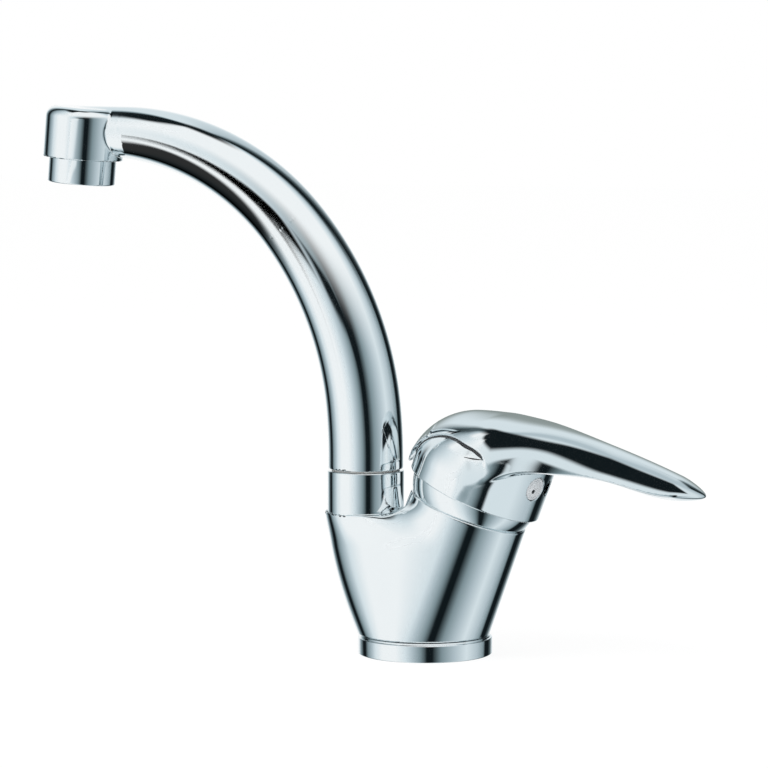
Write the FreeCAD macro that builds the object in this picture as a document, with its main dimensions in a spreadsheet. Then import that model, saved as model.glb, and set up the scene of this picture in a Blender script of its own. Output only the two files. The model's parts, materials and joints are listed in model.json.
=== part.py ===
import FreeCAD, Part
import os
import re
from math import asin, cos, pi, radians, sin

import Sketcher

# A deck faucet with a swivelling gooseneck spout and one lever on a tilted mixing cartridge.
# Lengths are millimetres. The deck is z = 0, +X points to the lever and -X to the outlet.
# The cartridge pieces are drawn on their own axis, where zero is the rim of the body.

Vector = FreeCAD.Vector

SIZES = {
    # Base on the deck.
    "base_radius": 25.0,
    "base_height": 7.0,
    "base_edge": 0.8,
    "base_bore_radius": 20.5,
    "gasket_outer_radius": 24.0,
    "gasket_inner_radius": 21.6,
    "gasket_thickness": 2.0,
    "spigot_lift": 0.5,
    # Body casting.
    "axis_tilt": 20.2,
    "rim_x": 16.9,
    "rim_z": 54.4,
    "rim_radius": 22.4,
    "root_radius": 23.3,
    "rim_edge": 0.6,
    "rim_drop": 1.2,
    "relief_depth": 12.0,
    "shoulder_z": 53.2,
    "shoulder_radius": 15.3,
    "spout_offset": 23.2,
    "left_foot_offset": 9.9,
    "scoop_radius": 11.7,
    "scoop_offset": 14.9,
    "web_top_z": 64.0,
    "hollow_radius": 16.5,
    "hollow_depth": 12.0,
    "mouth_radius": 19.3,
    "mouth_depth": 8.0,
    "cartridge_bore_radius": 17.6,
    "cartridge_bore_depth": 26.0,
    "port_radius": 3.5,
    "port_offset": 7.5,
    "outlet_port_depth": 8.0,
    "inlet_port_depth": 13.6,
    "outlet_drill_z": 27.8,
    "inlet_radius": 4.5,
    "inlet_depth": 9.0,
    "inlet_x": 3.5,
    "inlet_y": 8.5,
    "stud_radius": 3.4,
    "stud_depth": 8.0,
    "stud_x": 10.0,
    # Spout column.
    "collar_radius": 14.3,
    "collar_seat_z": 51.5,
    "collar_top_z": 67.5,
    "collar_edge": 0.5,
    "collar_spigot_radius": 12.0,
    "collar_spigot_length": 8.5,
    "socket_step_z": 40.8,
    "socket_radius": 9.0,
    "socket_floor_z": 28.0,
    "slip_washer_radius": 13.5,
    "slip_washer_thickness": 0.6,
    "tail_radius": 8.0,
    "tail_wall": 1.8,
    "tail_bottom_z": 29.5,
    "tail_flange_height": 6.0,
    "o_ring_width": 2.4,
    "o_ring_depth": 1.5,
    "upper_ring_z": 37.2,
    "lower_ring_z": 32.5,
    "clip_radius": 11.3,
    "clip_thickness": 1.2,
    "clip_z": 41.5,
    "clip_depth": 0.8,
    # Spout tube.
    "spout_radius": 14.0,
    "spout_end_radius": 8.2,
    "spout_wall": 1.8,
    "spout_foot_height": 4.0,
    "low_bend_radius": 196.9,
    "low_bend_angle": 5.5,
    "middle_bend_radius": 124.7,
    "middle_bend_angle": 33.5,
    "high_bend_radius": 93.6,
    "high_bend_angle": 47.4,
    "arm_length": 17.2,
    # Outlet barrel and aerator.
    "barrel_radius": 15.1,
    "barrel_height": 19.4,
    "barrel_edge": 3.2,
    "barrel_lean": 4.6,
    "barrel_drop": 11.1,
    "barrel_socket_radius": 11.4,
    "barrel_socket_depth": 9.0,
    "socket_step": 2.4,
    "barrel_chamber_height": 15.0,
    "aerator_radius": 12.75,
    "aerator_height": 9.4,
    "aerator_edge": 0.6,
    "aerator_spigot_length": 6.0,
    "aerator_wall": 1.8,
    "aerator_lip": 1.2,
    "aerator_lip_height": 1.0,
    "insert_height": 9.0,
    "insert_hole_radius": 1.1,
    "insert_hole_circle": 5.6,
    "screen_thickness": 1.0,
    "aerator_washer_thickness": 1.8,
    # Cartridge.
    "housing_radius": 17.4,
    "housing_shoulder": 2.0,
    "housing_cavity_radius": 15.2,
    "housing_roof": 1.5,
    "housing_neck_radius": 12.8,
    "housing_neck_top": 8.0,
    "cartridge_base_height": 6.0,
    "seal_outer_radius": 5.0,
    "seal_height": 1.6,
    "disc_radius": 12.0,
    "fixed_disc_radius": 14.6,
    "fixed_disc_height": 4.5,
    "moving_disc_height": 4.0,
    "disc_rest_offset": 2.5,
    "carrier_height": 4.0,
    "carrier_boss_radius": 5.6,
    "carrier_boss_top": 2.4,
    "ball_level": 4.6,
    "ball_radius": 3.0,
    "ball_clearance": 0.2,
    "stem_neck_radius": 2.2,
    "stem_width": 8.0,
    "stem_bottom": 3.0,
    "stem_top": 31.0,
    "pivot_level": 10.0,
    "pin_radius": 1.5,
    "pin_length": 18.0,
    "turret_radius": 10.4,
    "turret_flange_radius": 14.6,
    "turret_flange_height": 2.2,
    "turret_top": 7.6,
    "ear_top": 13.4,
    "ear_width": 9.0,
    "slot_front": 7.6,
    "slot_rear": 5.6,
    "turret_ring_level": 4.0,
    "turret_ring_width": 2.0,
    "turret_ring_depth": 1.2,
    "nut_flange_thickness": 3.0,
    "nut_flange_bore": 13.2,
    "trim_height": 12.0,
    "trim_bore_radius": 20.0,
    # Handle.
    "handle_clearance": 0.4,
    "skirt_overhang": 3.0,
    "skirt_level": 13.0,
    "skirt_bottom": 6.8,
    "skirt_slant": 3.3,
    "skirt_front_top": 26.5,
    "skirt_front_start": 8.0,
    "crown_lift": 0.1,
    "hood_overhang": 5.0,
    "cheek_radius": 18.5,
    "cheek_offset": 8.0,
    "cheek_level": 8.2,
    "cheek_front_level": 20.5,
    "blade_start": 4.0,
    "blade_length": 81.3,
    "blade_half_width": 24.0,
    "blade_half_height": 16.6,
    "blade_root_level": 20.0,
    "blade_tip_rise": 20.2,
    "boss_radius": 7.4,
    "boss_bottom": 17.0,
    "screw_radius": 2.5,
    "screw_length": 8.0,
    "screw_level": 18.6,
    "screw_boss_radius": 4.5,
    "screw_boss_length": 11.0,
    "screw_access_radius": 3.0,
    "hex_radius": 1.4,
    "hex_depth": 3.0,
    "button_radius": 4.4,
    "button_thickness": 1.6,
    "button_sink": 0.3,
    "button_turn": 22.0,
    # Clearances and the overrun of every cut.
    "running_clearance": 0.1,
    "seat_clearance": 0.2,
    "film_clearance": 0.02,
    "slot_clearance": 0.3,
    "overrun": 90.0,
}

# Levels of the sections of the web, from the base to the top of the web.
WEB_LEVEL_SHARES = (0.0, 0.18, 0.40, 0.62, 0.81, 1.0)
# Each section's right circle as a share of the branch it follows.
WEB_RIGHT_SHARES = (0.995, 0.995, 0.995, 0.995, 0.98, 0.94)
# Each section's left circle centre, from the foot to the spout axis.
WEB_LEFT_SHARES = (0.0, 0.34, 0.66, 0.88, 1.0, 1.04)

# Sections of the blade from its start inside the dome to its tip.
BLADE_STATION_SHARES = (0.0, 0.137, 0.251, 0.354, 0.503, 0.674, 0.846, 0.949, 1.0)
BLADE_WIDTH_SHARES = (0.979, 0.99, 0.81, 0.665, 0.55, 0.50, 0.41, 0.27, 0.08)
BLADE_HEIGHT_SHARES = (0.98, 1.0, 0.63, 0.50, 0.405, 0.335, 0.275, 0.19, 0.06)
BLADE_RISE_SHARES = (0.0, 0.15, 0.53, 0.69, 0.785, 0.83, 0.835, 0.83, 0.84)

# Sections of the spout tube along its path, and their taper from foot to outlet.
SPOUT_PATH_SHARES = (0.0, 0.08, 0.16, 0.25, 0.34, 0.43, 0.52, 0.61, 0.70, 0.78, 0.85, 0.92, 1.0)
SPOUT_TAPER_SHARES = (0.0, 0.02, 0.05, 0.08, 0.13, 0.18, 0.24, 0.32, 0.41, 0.53, 0.65, 0.76, 1.0)

# A rounded edge is drawn as three facets, whose middle corners stand back by this share.
ROUND_EDGE_SHARE = 0.134
INSERT_HOLE_COUNT = 8

# The spout stands on the slip washer.
SPOUT_FOOT = "(collar_top_z + slip_washer_thickness)"
# The trim ring is part of a ball about the pivot that meets the rim of the body.
TRIM_RADIUS = "sqrt((rim_radius - rim_edge)^2 + pivot_level^2)"
# The handle covers the trim ring, so its shell grows with the rim.
SKIRT_RADIUS = "(rim_radius + skirt_overhang)"
DOME_HEIGHT = "(rim_radius + crown_lift)"
DOME_TOP = f"(skirt_level + {DOME_HEIGHT})"
HOOD_RADIUS = "(rim_radius + hood_overhang)"
BUTTON_FLOOR = f"({SKIRT_RADIUS} - button_sink - button_thickness)"
BARREL_CHAMBER = "(barrel_socket_radius - socket_step)"
AERATOR_BORE = "(barrel_socket_radius - aerator_wall)"

doc = FreeCAD.newDocument("gooseneck_faucet")
os.makedirs("parts", exist_ok=True)
sheet = doc.addObject("Spreadsheet::Sheet", "Sizes")
for row, (size_name, size_value) in enumerate(SIZES.items(), start=1):
    sheet.set(f"A{row}", size_name)
    sheet.set(f"B{row}", str(size_value))
    sheet.setAlias(f"B{row}", size_name)
doc.recompute()


def linked(expression):
    """Point every size named in an expression at the sheet."""
    return re.sub(r"[a-z_]+", lambda word: f"Sizes.{word[0]}" if word[0] in SIZES else word[0], expression)


def size(expression):
    """Value of an expression of sizes."""
    return float(sheet.evalExpression(linked(expression)))


def bind(piece, **expressions):
    """Bind properties of a piece to expressions of sizes."""
    for name, expression in expressions.items():
        piece.setExpression(name, linked(expression))


def place(piece, x="", y="", z=""):
    """Bind the position of a piece."""
    for letter, expression in (("x", x), ("y", y), ("z", z)):
        if expression:
            piece.setExpression(f"Placement.Base.{letter}", linked(expression))
    return piece


def tilt(piece, angle, x, z):
    """Stand a piece on an axis that leans toward +X."""
    piece.Placement = FreeCAD.Placement(Vector(), FreeCAD.Rotation(Vector(0, 1, 0), size(angle)))
    piece.setExpression("Placement.Rotation.Angle", linked(angle))
    return place(piece, x=x, z=z)


def on_cartridge_axis(piece):
    return tilt(piece, "axis_tilt", "rim_x", "rim_z")


def cylinder(name, radius, height, x="", y="", z="", axis="z"):
    """A cylinder along Z, or along X or Y in the positive direction."""
    piece = doc.addObject("Part::Cylinder", name)
    bind(piece, Radius=radius, Height=height)
    turn = {"z": (Vector(0, 0, 1), 0), "x": (Vector(0, 1, 0), 90), "y": (Vector(1, 0, 0), -90)}[axis]
    piece.Placement = FreeCAD.Placement(Vector(), FreeCAD.Rotation(*turn))
    return place(piece, x, y, z)


def box(name, length, width, height, x, z):
    """A box that is centred on the plane of symmetry."""
    piece = doc.addObject("Part::Box", name)
    bind(piece, Length=length, Width=width, Height=height)
    return place(piece, x, f"-({width}) / 2", z)


def sphere(name, radius, z):
    piece = doc.addObject("Part::Sphere", name)
    bind(piece, Radius=radius)
    return place(piece, z=z)


def joined(name, pieces):
    piece = doc.addObject("Part::MultiFuse", name)
    piece.Shapes = pieces
    return piece


def shared(name, pieces):
    piece = doc.addObject("Part::MultiCommon", name)
    piece.Shapes = pieces
    return piece


def cut(name, base, tools):
    piece = doc.addObject("Part::Cut", name)
    piece.Base = base
    piece.Tool = tools[0] if len(tools) == 1 else joined(f"{name}_tools", tools)
    return piece


def turned(name, profile):
    """A body turned about Z from a closed profile of (radius, height) expressions."""
    body = doc.addObject("PartDesign::Body", name)
    sketch = body.newObject("Sketcher::SketchObject", f"{name}_profile")
    plane = [item for item in body.Origin.OriginFeatures if item.Role == "XZ_Plane"][0]
    sketch.AttachmentSupport = [(plane, "")]
    sketch.MapMode = "FlatFace"
    corners = [Vector(size(radius), size(height), 0) for radius, height in profile]
    count = len(corners)
    for index in range(count):
        sketch.addGeometry(Part.LineSegment(corners[index], corners[(index + 1) % count]), False)
    for index in range(count):
        sketch.addConstraint(Sketcher.Constraint("Coincident", index, 2, (index + 1) % count, 1))
    for index, (radius, height) in enumerate(profile):
        for kind, value, expression in (
            ("DistanceX", corners[index].x, radius),
            ("DistanceY", corners[index].y, height),
        ):
            number = sketch.addConstraint(Sketcher.Constraint(kind, -1, 1, index, 1, value))
            sketch.setExpression(f"Constraints[{number}]", linked(expression))
    turn = body.newObject("PartDesign::Revolution", f"{name}_turn")
    turn.Profile = sketch
    turn.ReferenceAxis = (sketch, ["V_Axis"])
    turn.Angle = 360
    sketch.Visibility = False
    return body


def ring(name, outer, inner, bottom, top):
    """A plain ring with a square section."""
    return turned(name, [(inner, bottom), (outer, bottom), (outer, top), (inner, top)])


def web_section(number, level_share, right_share, left_share):
    """Outline of the web at one level: two circles and the lines that touch both."""
    level = f"base_height + (web_top_z - base_height) * {level_share}"
    right_x = f"rim_x - (rim_z - ({level})) * tan(axis_tilt)"
    right_radius = f"(root_radius + (rim_radius - root_radius) * {level_share}) * {right_share}"
    left_x = f"-(left_foot_offset + (spout_offset - left_foot_offset) * {left_share})"
    left_radius = "shoulder_radius"
    sketch = doc.addObject("Sketcher::SketchObject", f"web_section_{number}")
    place(sketch, z=level)
    right, left = Vector(size(right_x), 0, 0), Vector(size(left_x), 0, 0)
    big, small = size(right_radius), size(left_radius)
    touch = pi / 2 + asin((big - small) / (right.x - left.x))
    reach = Vector(cos(touch), sin(touch), 0)
    mirror = Vector(reach.x, -reach.y, 0)
    normal = Vector(0, 0, 1)
    sketch.addGeometry(Part.ArcOfCircle(Part.Circle(right, normal, big), -touch, touch), False)
    sketch.addGeometry(Part.LineSegment(right + reach * big, left + reach * small), False)
    sketch.addGeometry(Part.ArcOfCircle(Part.Circle(left, normal, small), touch, 2 * pi - touch), False)
    sketch.addGeometry(Part.LineSegment(left + mirror * small, right + mirror * big), False)
    for first, first_end, second, second_end in ((0, 2, 1, 1), (1, 2, 2, 1), (2, 2, 3, 1), (3, 2, 0, 1)):
        sketch.addConstraint(Sketcher.Constraint("Tangent", first, first_end, second, second_end))
    for arc, centre, radius, centre_size, radius_size in (
        (0, right, big, right_x, right_radius),
        (2, left, small, left_x, left_radius),
    ):
        sketch.addConstraint(Sketcher.Constraint("PointOnObject", arc, 3, -1))
        number = sketch.addConstraint(Sketcher.Constraint("DistanceX", -1, 1, arc, 3, centre.x))
        sketch.setExpression(f"Constraints[{number}]", linked(centre_size))
        number = sketch.addConstraint(Sketcher.Constraint("Radius", arc, radius))
        sketch.setExpression(f"Constraints[{number}]", linked(radius_size))
    return sketch


def make_body():
    """Casting: a tilted cartridge branch and an upright spout branch, joined by a scooped web."""
    web = doc.addObject("Part::Loft", "web")
    web.Sections = [
        web_section(number, *shares)
        for number, shares in enumerate(zip(WEB_LEVEL_SHARES, WEB_RIGHT_SHARES, WEB_LEFT_SHARES))
    ]
    web.Solid = True
    scoop = joined("scoop", [
        box("scoop_left", "overrun", "overrun", "overrun", "-scoop_offset - overrun", "shoulder_z"),
        cylinder("scoop_round", "scoop_radius", "overrun", "-scoop_offset", "-overrun / 2",
                 "shoulder_z + scoop_radius", "y"),
        box("scoop_right", "scoop_radius", "overrun", "overrun", "-scoop_offset",
            "shoulder_z + scoop_radius"),
    ])
    relief = on_cartridge_axis(turned("rim_relief", [
        ("rim_radius - rim_edge", "0"),
        ("rim_radius", "-rim_edge"),
        ("rim_radius", "-rim_drop"),
        ("rim_radius + relief_depth", "-rim_drop - relief_depth"),
        ("overrun", "-rim_drop - relief_depth"),
        ("overrun", "overrun"),
        ("rim_radius - rim_edge", "overrun"),
    ]))
    branch = on_cartridge_axis(turned("branch", [
        ("0", "-rim_z / cos(axis_tilt)"),
        ("root_radius", "-rim_z / cos(axis_tilt)"),
        ("rim_radius", "-rim_edge"),
        ("rim_radius - rim_edge", "0"),
        ("0", "0"),
    ]))
    blank = cut("body_blank", joined("body_branches", [cut("body_web", web, [scoop, relief]), branch]), [
        on_cartridge_axis(cylinder("above_rim", "overrun", "overrun")),
        cylinder("below_foot", "overrun", "overrun", z="base_height - overrun"),
    ])
    spigot = cylinder("body_spigot", "base_bore_radius - seat_clearance", "2 * base_height - spigot_lift",
                      z="spigot_lift")
    cuts = [
        cylinder("base_hollow", "hollow_radius", "hollow_depth + overrun", z="-overrun"),
        on_cartridge_axis(turned("cartridge_bore", [
            ("0", "-cartridge_bore_depth"),
            ("cartridge_bore_radius", "-cartridge_bore_depth"),
            ("cartridge_bore_radius", "-mouth_depth"),
            ("mouth_radius", "-mouth_depth"),
            ("mouth_radius", "overrun"),
            ("0", "overrun"),
        ])),
        place(turned("spout_socket", [
            ("0", "socket_floor_z"),
            ("socket_radius", "socket_floor_z"),
            ("socket_radius", "socket_step_z"),
            ("collar_spigot_radius", "socket_step_z"),
            ("collar_spigot_radius", "collar_seat_z"),
            ("collar_radius + seat_clearance", "collar_seat_z"),
            ("collar_radius + seat_clearance", "overrun"),
            ("0", "overrun"),
        ]), x="-spout_offset"),
        cylinder("outlet_drill", "port_radius", "spout_offset", "-spout_offset", "0", "outlet_drill_z", "x"),
        on_cartridge_port("outlet_port", "-port_offset", "0", "outlet_port_depth"),
        cylinder("stud_hole", "stud_radius", "stud_depth + hollow_depth", "-stud_x", "0", "0"),
    ]
    for side, sign in (("hot", ""), ("cold", "-")):
        cuts.append(cylinder(f"{side}_inlet", "inlet_radius", "inlet_depth + hollow_depth",
                             "inlet_x", f"{sign}inlet_y", "0"))
        cuts.append(on_cartridge_port(f"{side}_port", "port_offset / 2", f"{sign}port_offset",
                                      "inlet_port_depth"))
    cut("body", joined("body_solid", [blank, spigot]), cuts)


def on_cartridge_port(name, along, across, depth):
    """A drilled port below the floor of the cartridge bore."""
    port = cylinder(f"{name}_drill", "port_radius", f"{depth} + port_radius", along, across,
                    f"-cartridge_bore_depth - ({depth})")
    return on_cartridge_axis(joined(name, [port, cylinder(
        f"{name}_mouth", "port_radius", "port_radius", along, across, "-cartridge_bore_depth")]))


def make_base():
    turned("base_ring", [
        ("base_bore_radius", "0"),
        ("gasket_inner_radius", "0"),
        ("gasket_inner_radius", "gasket_thickness"),
        ("gasket_outer_radius", "gasket_thickness"),
        ("gasket_outer_radius", "0"),
        ("base_radius", "0"),
        ("base_radius", "base_height - base_edge"),
        ("base_radius - base_edge", "base_height"),
        ("base_bore_radius", "base_height"),
    ])
    ring("base_gasket", "gasket_outer_radius", "gasket_inner_radius", "0", "gasket_thickness")


def make_spout_column():
    """Pieces on the upright axis of the spout."""
    bore = "tail_radius + running_clearance"
    collar = turned("spout_collar", [
        (bore, "collar_seat_z - collar_spigot_length"),
        ("collar_spigot_radius", "collar_seat_z - collar_spigot_length"),
        ("collar_spigot_radius", "collar_seat_z"),
        ("collar_radius", "collar_seat_z"),
        ("collar_radius", "collar_top_z - collar_edge"),
        ("collar_radius - collar_edge", "collar_top_z"),
        (bore, "collar_top_z"),
    ])
    washer = ring("slip_washer", "slip_washer_radius", "tail_radius", "collar_top_z", SPOUT_FOOT)
    profile = [("tail_radius - tail_wall", "tail_bottom_z"), ("tail_radius", "tail_bottom_z")]
    for level, width, depth in (
        ("lower_ring_z", "o_ring_width", "o_ring_depth"),
        ("upper_ring_z", "o_ring_width", "o_ring_depth"),
        ("clip_z", "clip_thickness", "clip_depth"),
    ):
        profile += [
            ("tail_radius", f"{level} - {width} / 2"),
            (f"tail_radius - {depth}", f"{level} - {width} / 2"),
            (f"tail_radius - {depth}", f"{level} + {width} / 2"),
            ("tail_radius", f"{level} + {width} / 2"),
        ]
    profile += [
        ("tail_radius", SPOUT_FOOT),
        ("spout_radius - spout_wall", SPOUT_FOOT),
        ("spout_radius - spout_wall", f"{SPOUT_FOOT} + tail_flange_height"),
        ("tail_radius - tail_wall", f"{SPOUT_FOOT} + tail_flange_height"),
    ]
    tail = turned("spout_tail", profile)
    rings = [
        ring(f"{name}_o_ring", "socket_radius - film_clearance", "tail_radius - o_ring_depth",
             f"{name}_ring_z - o_ring_width / 2", f"{name}_ring_z + o_ring_width / 2")
        for name in ("upper", "lower")
    ]
    clip = ring("retaining_clip", "clip_radius", "tail_radius - clip_depth",
                "clip_z - clip_thickness / 2", "clip_z + clip_thickness / 2")
    for piece in (collar, washer, tail, clip, *rings):
        place(piece, x="-spout_offset")


def spout_path():
    """Bends of the spout as (start, heading, radius, angle), and the place and heading of its end."""
    point = Vector(-size("spout_offset"), 0, size(f"{SPOUT_FOOT} + spout_foot_height"))
    heading = 0.0
    bends = []
    for name in ("low", "middle", "high"):
        radius = size(f"{name}_bend_radius")
        angle = radians(size(f"{name}_bend_angle"))
        bends.append((point, heading, radius, angle))
        point = bend_point(point, heading, radius, angle)
        heading += angle
    return bends, point, heading


def bend_point(start, heading, radius, angle):
    end = heading + angle
    return start + Vector(cos(end) - cos(heading), 0, sin(end) - sin(heading)) * radius


def tube(name, wall):
    """Tapered tube along the bends and the straight arm, as a loft of circles across the path."""
    bends, arm_start, arm_heading = spout_path()
    arm_length = size("arm_length")
    lengths = [radius * angle for _, _, radius, angle in bends]
    total = sum(lengths) + arm_length
    thick, thin = size("spout_radius"), size("spout_end_radius")
    sections = []
    for path_share, taper_share in zip(SPOUT_PATH_SHARES, SPOUT_TAPER_SHARES):
        travel = path_share * total
        heading = arm_heading
        for (start, bend_heading, radius, _), length in zip(bends, lengths):
            if travel <= length:
                heading = bend_heading + travel / radius
                centre = bend_point(start, bend_heading, radius, travel / radius)
                break
            travel -= length
        else:
            centre = arm_start + Vector(-sin(heading), 0, cos(heading)) * travel
        along = Vector(-sin(heading), 0, cos(heading))
        radius = thick + (thin - thick) * taper_share - wall
        sections.append(Part.Wire(Part.makeCircle(radius, centre, along)))
    piece = doc.addObject("Part::Feature", name)
    piece.Shape = Part.makeLoft(sections, True)
    return piece


def at_outlet(piece):
    """Stand a piece on the outlet axis, where zero is the lower face of the barrel."""
    _, arm_start, heading = spout_path()
    end = arm_start + Vector(-sin(heading), 0, cos(heading)) * size("arm_length")
    lean = FreeCAD.Rotation(Vector(0, 1, 0), size("barrel_lean"))
    piece.Placement = FreeCAD.Placement(end - lean.multVec(Vector(0, 0, size("barrel_drop"))), lean)
    return piece


def make_spout():
    """Gooseneck tube that ends in an upright outlet barrel."""
    barrel = at_outlet(turned("barrel", [
        ("0", "0"),
        ("barrel_radius", "0"),
        ("barrel_radius", "barrel_height - barrel_edge"),
        (f"barrel_radius - {ROUND_EDGE_SHARE} * barrel_edge", "barrel_height - barrel_edge / 2"),
        ("barrel_radius - barrel_edge / 2", f"barrel_height - {ROUND_EDGE_SHARE} * barrel_edge"),
        ("barrel_radius - barrel_edge", "barrel_height"),
        ("0", "barrel_height"),
    ]))
    chamber = at_outlet(turned("barrel_chamber", [
        ("0", "-overrun"),
        ("barrel_socket_radius", "-overrun"),
        ("barrel_socket_radius", "barrel_socket_depth"),
        (BARREL_CHAMBER, "barrel_socket_depth"),
        (BARREL_CHAMBER, "barrel_chamber_height"),
        ("0", "barrel_chamber_height"),
    ]))
    foot_outside = cylinder("spout_foot", "spout_radius", "spout_foot_height",
                            "-spout_offset", "0", SPOUT_FOOT)
    foot_inside = cylinder("spout_foot_bore", "spout_radius - spout_wall", "spout_foot_height",
                           "-spout_offset", "0", SPOUT_FOOT)
    outside = joined("spout_outside", [foot_outside, tube("spout_tube", 0), barrel])
    cut("spout", outside, [foot_inside, tube("spout_bore", size("spout_wall")), chamber])


def make_aerator():
    at_outlet(turned("aerator_collar", [
        (f"{AERATOR_BORE} - aerator_lip", "-aerator_height"),
        ("aerator_radius - aerator_edge", "-aerator_height"),
        ("aerator_radius", "aerator_edge - aerator_height"),
        ("aerator_radius", "0"),
        ("barrel_socket_radius", "0"),
        ("barrel_socket_radius", "aerator_spigot_length"),
        (AERATOR_BORE, "aerator_spigot_length"),
        (AERATOR_BORE, "aerator_lip_height - aerator_height"),
        (f"{AERATOR_BORE} - aerator_lip", "aerator_lip_height - aerator_height"),
    ]))
    bottom = "(aerator_lip_height - aerator_height)"
    insert_body = cylinder("insert_body", AERATOR_BORE, "insert_height", z=bottom)
    hole_circle = [cylinder("insert_hole_0", "insert_hole_radius", "insert_height", z=bottom)]
    for number in range(INSERT_HOLE_COUNT):
        turn = f"{number} * 360 / {INSERT_HOLE_COUNT}"
        hole_circle.append(cylinder(
            f"insert_hole_{number + 1}", "insert_hole_radius", "insert_height",
            f"insert_hole_circle * cos({turn})", f"insert_hole_circle * sin({turn})", bottom))
    at_outlet(cut("aerator_insert", insert_body, hole_circle))
    top = f"({bottom} + insert_height)"
    at_outlet(ring("aerator_screen", AERATOR_BORE, "insert_hole_radius",
                   top, f"{top} + screen_thickness"))
    at_outlet(ring("aerator_washer", "barrel_socket_radius", BARREL_CHAMBER,
                   "aerator_spigot_length", "aerator_spigot_length + aerator_washer_thickness"))


def make_cartridge():
    floor = "(-cartridge_bore_depth)"
    base_top = f"({floor} + cartridge_base_height)"
    disc_plane = f"({base_top} + fixed_disc_height)"
    disc_bottom = f"({disc_plane} + film_clearance)"
    disc_top = f"({disc_bottom} + moving_disc_height)"
    roof = "(housing_shoulder - housing_roof)"
    neck_bore = "turret_radius + running_clearance"
    on_cartridge_axis(turned("cartridge_housing", [
        ("housing_cavity_radius", base_top),
        ("housing_radius", base_top),
        ("housing_radius", "housing_shoulder"),
        ("housing_neck_radius", "housing_shoulder"),
        ("housing_neck_radius", "housing_neck_top"),
        (neck_bore, "housing_neck_top"),
        (neck_bore, roof),
        ("housing_cavity_radius", roof),
    ]))
    ports = {"hot": ("port_offset / 2", "port_offset"), "cold": ("port_offset / 2", "-port_offset"),
             "mixed": ("-port_offset", "0")}
    base = cylinder("cartridge_base_disc", "housing_radius", "cartridge_base_height", z=floor)
    disc = cylinder("fixed_disc_blank", "fixed_disc_radius", "fixed_disc_height", z=base_top)
    base_holes, disc_holes = [], []
    for name, (along, across) in ports.items():
        base_holes.append(cylinder(f"{name}_base_hole", "port_radius", "cartridge_base_height",
                                   along, across, floor))
        base_holes.append(cylinder(f"{name}_seal_groove", "seal_outer_radius", "seal_height",
                                   along, across, floor))
        disc_holes.append(cylinder(f"{name}_disc_hole", "port_radius", "fixed_disc_height",
                                   along, across, base_top))
        outside = cylinder(f"{name}_seal_blank", "seal_outer_radius", "seal_height", along, across, floor)
        inside = cylinder(f"{name}_seal_hole", "port_radius", "seal_height", along, across, floor)
        on_cartridge_axis(cut(f"{name}_port_seal", outside, [inside]))
    on_cartridge_axis(cut("cartridge_base", base, base_holes))
    on_cartridge_axis(cut("fixed_ceramic_disc", disc, disc_holes))

    moving = cylinder("moving_disc_blank", "disc_radius", "moving_disc_height",
                      "-disc_rest_offset", "0", disc_bottom)
    pocket = cylinder("moving_disc_pocket", "disc_radius / 2", "moving_disc_height / 2",
                      "-disc_rest_offset", "0", disc_bottom)
    on_cartridge_axis(cut("moving_ceramic_disc", moving, [pocket]))
    plate = cylinder("carrier_plate", "disc_radius", "carrier_height", "-disc_rest_offset", "0", disc_top)
    boss = cylinder("carrier_boss", "carrier_boss_radius", f"-carrier_boss_top - {disc_top}", z=disc_top)
    socket = cylinder("carrier_socket", "ball_radius + ball_clearance", "overrun",
                      z="-ball_level - ball_radius - ball_clearance")
    on_cartridge_axis(cut("disc_carrier", joined("carrier_solid", [plate, boss]), [socket]))


def make_turret():
    """Turning guide of the stem, with its pin and its ring."""
    flange_top = "(housing_shoulder - housing_roof - film_clearance)"
    ring_low = "turret_ring_level - turret_ring_width / 2"
    ring_high = "turret_ring_level + turret_ring_width / 2"
    drum = turned("turret_drum", [
        ("0", f"{flange_top} - turret_flange_height"),
        ("turret_flange_radius", f"{flange_top} - turret_flange_height"),
        ("turret_flange_radius", flange_top),
        ("turret_radius", flange_top),
        ("turret_radius", ring_low),
        ("turret_radius - turret_ring_depth", ring_low),
        ("turret_radius - turret_ring_depth", ring_high),
        ("turret_radius", ring_high),
        ("turret_radius", "turret_top"),
        ("0", "turret_top"),
    ])
    ears = shared("turret_ears", [
        cylinder("ear_round", "turret_radius", "ear_top", z="0"),
        box("ear_block", "ear_width", "overrun", "overrun", "-ear_width / 2", ring_high),
    ])
    slot = box("turret_slot", "slot_front + slot_rear", "stem_width + 2 * slot_clearance", "2 * overrun",
               "-slot_rear", "-overrun")
    pin_hole = cylinder("turret_pin_hole", "pin_radius", "pin_length",
                        "0", "-pin_length / 2", "pivot_level", "y")
    on_cartridge_axis(cut("turret", joined("turret_solid", [drum, ears]), [slot, pin_hole]))
    on_cartridge_axis(ring("turret_o_ring", "turret_radius + running_clearance - film_clearance",
                           "turret_radius - turret_ring_depth", ring_low, ring_high))
    on_cartridge_axis(cylinder_copy("stem_pin", pin_hole))


def cylinder_copy(name, source):
    """A cylinder that fills a hole made with another cylinder."""
    piece = doc.addObject("Part::Cylinder", f"{name}_blank")
    piece.setExpression("Radius", f"{source.Name}.Radius")
    piece.setExpression("Height", f"{source.Name}.Height")
    piece.setExpression("Placement", f"{source.Name}.Placement")
    return joined_alone(name, piece)


def joined_alone(name, piece):
    """A piece of one solid, moved as a whole."""
    holder = doc.addObject("Part::Compound", name)
    holder.Links = [piece]
    return holder


def make_stem():
    bar = box("stem_bar", "stem_width", "stem_width", "stem_top - stem_bottom",
              "-stem_width / 2", "stem_bottom")
    neck = cylinder("stem_neck", "stem_neck_radius", "stem_bottom + ball_level", z="-ball_level")
    ball = sphere("stem_ball", "ball_radius", "-ball_level")
    hole = cylinder("stem_pin_hole", "pin_radius + running_clearance", "stem_width", "0", "-stem_width / 2",
                    "pivot_level", "y")
    on_cartridge_axis(cut("stem", joined("stem_solid", [bar, neck, ball]), [hole]))


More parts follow.
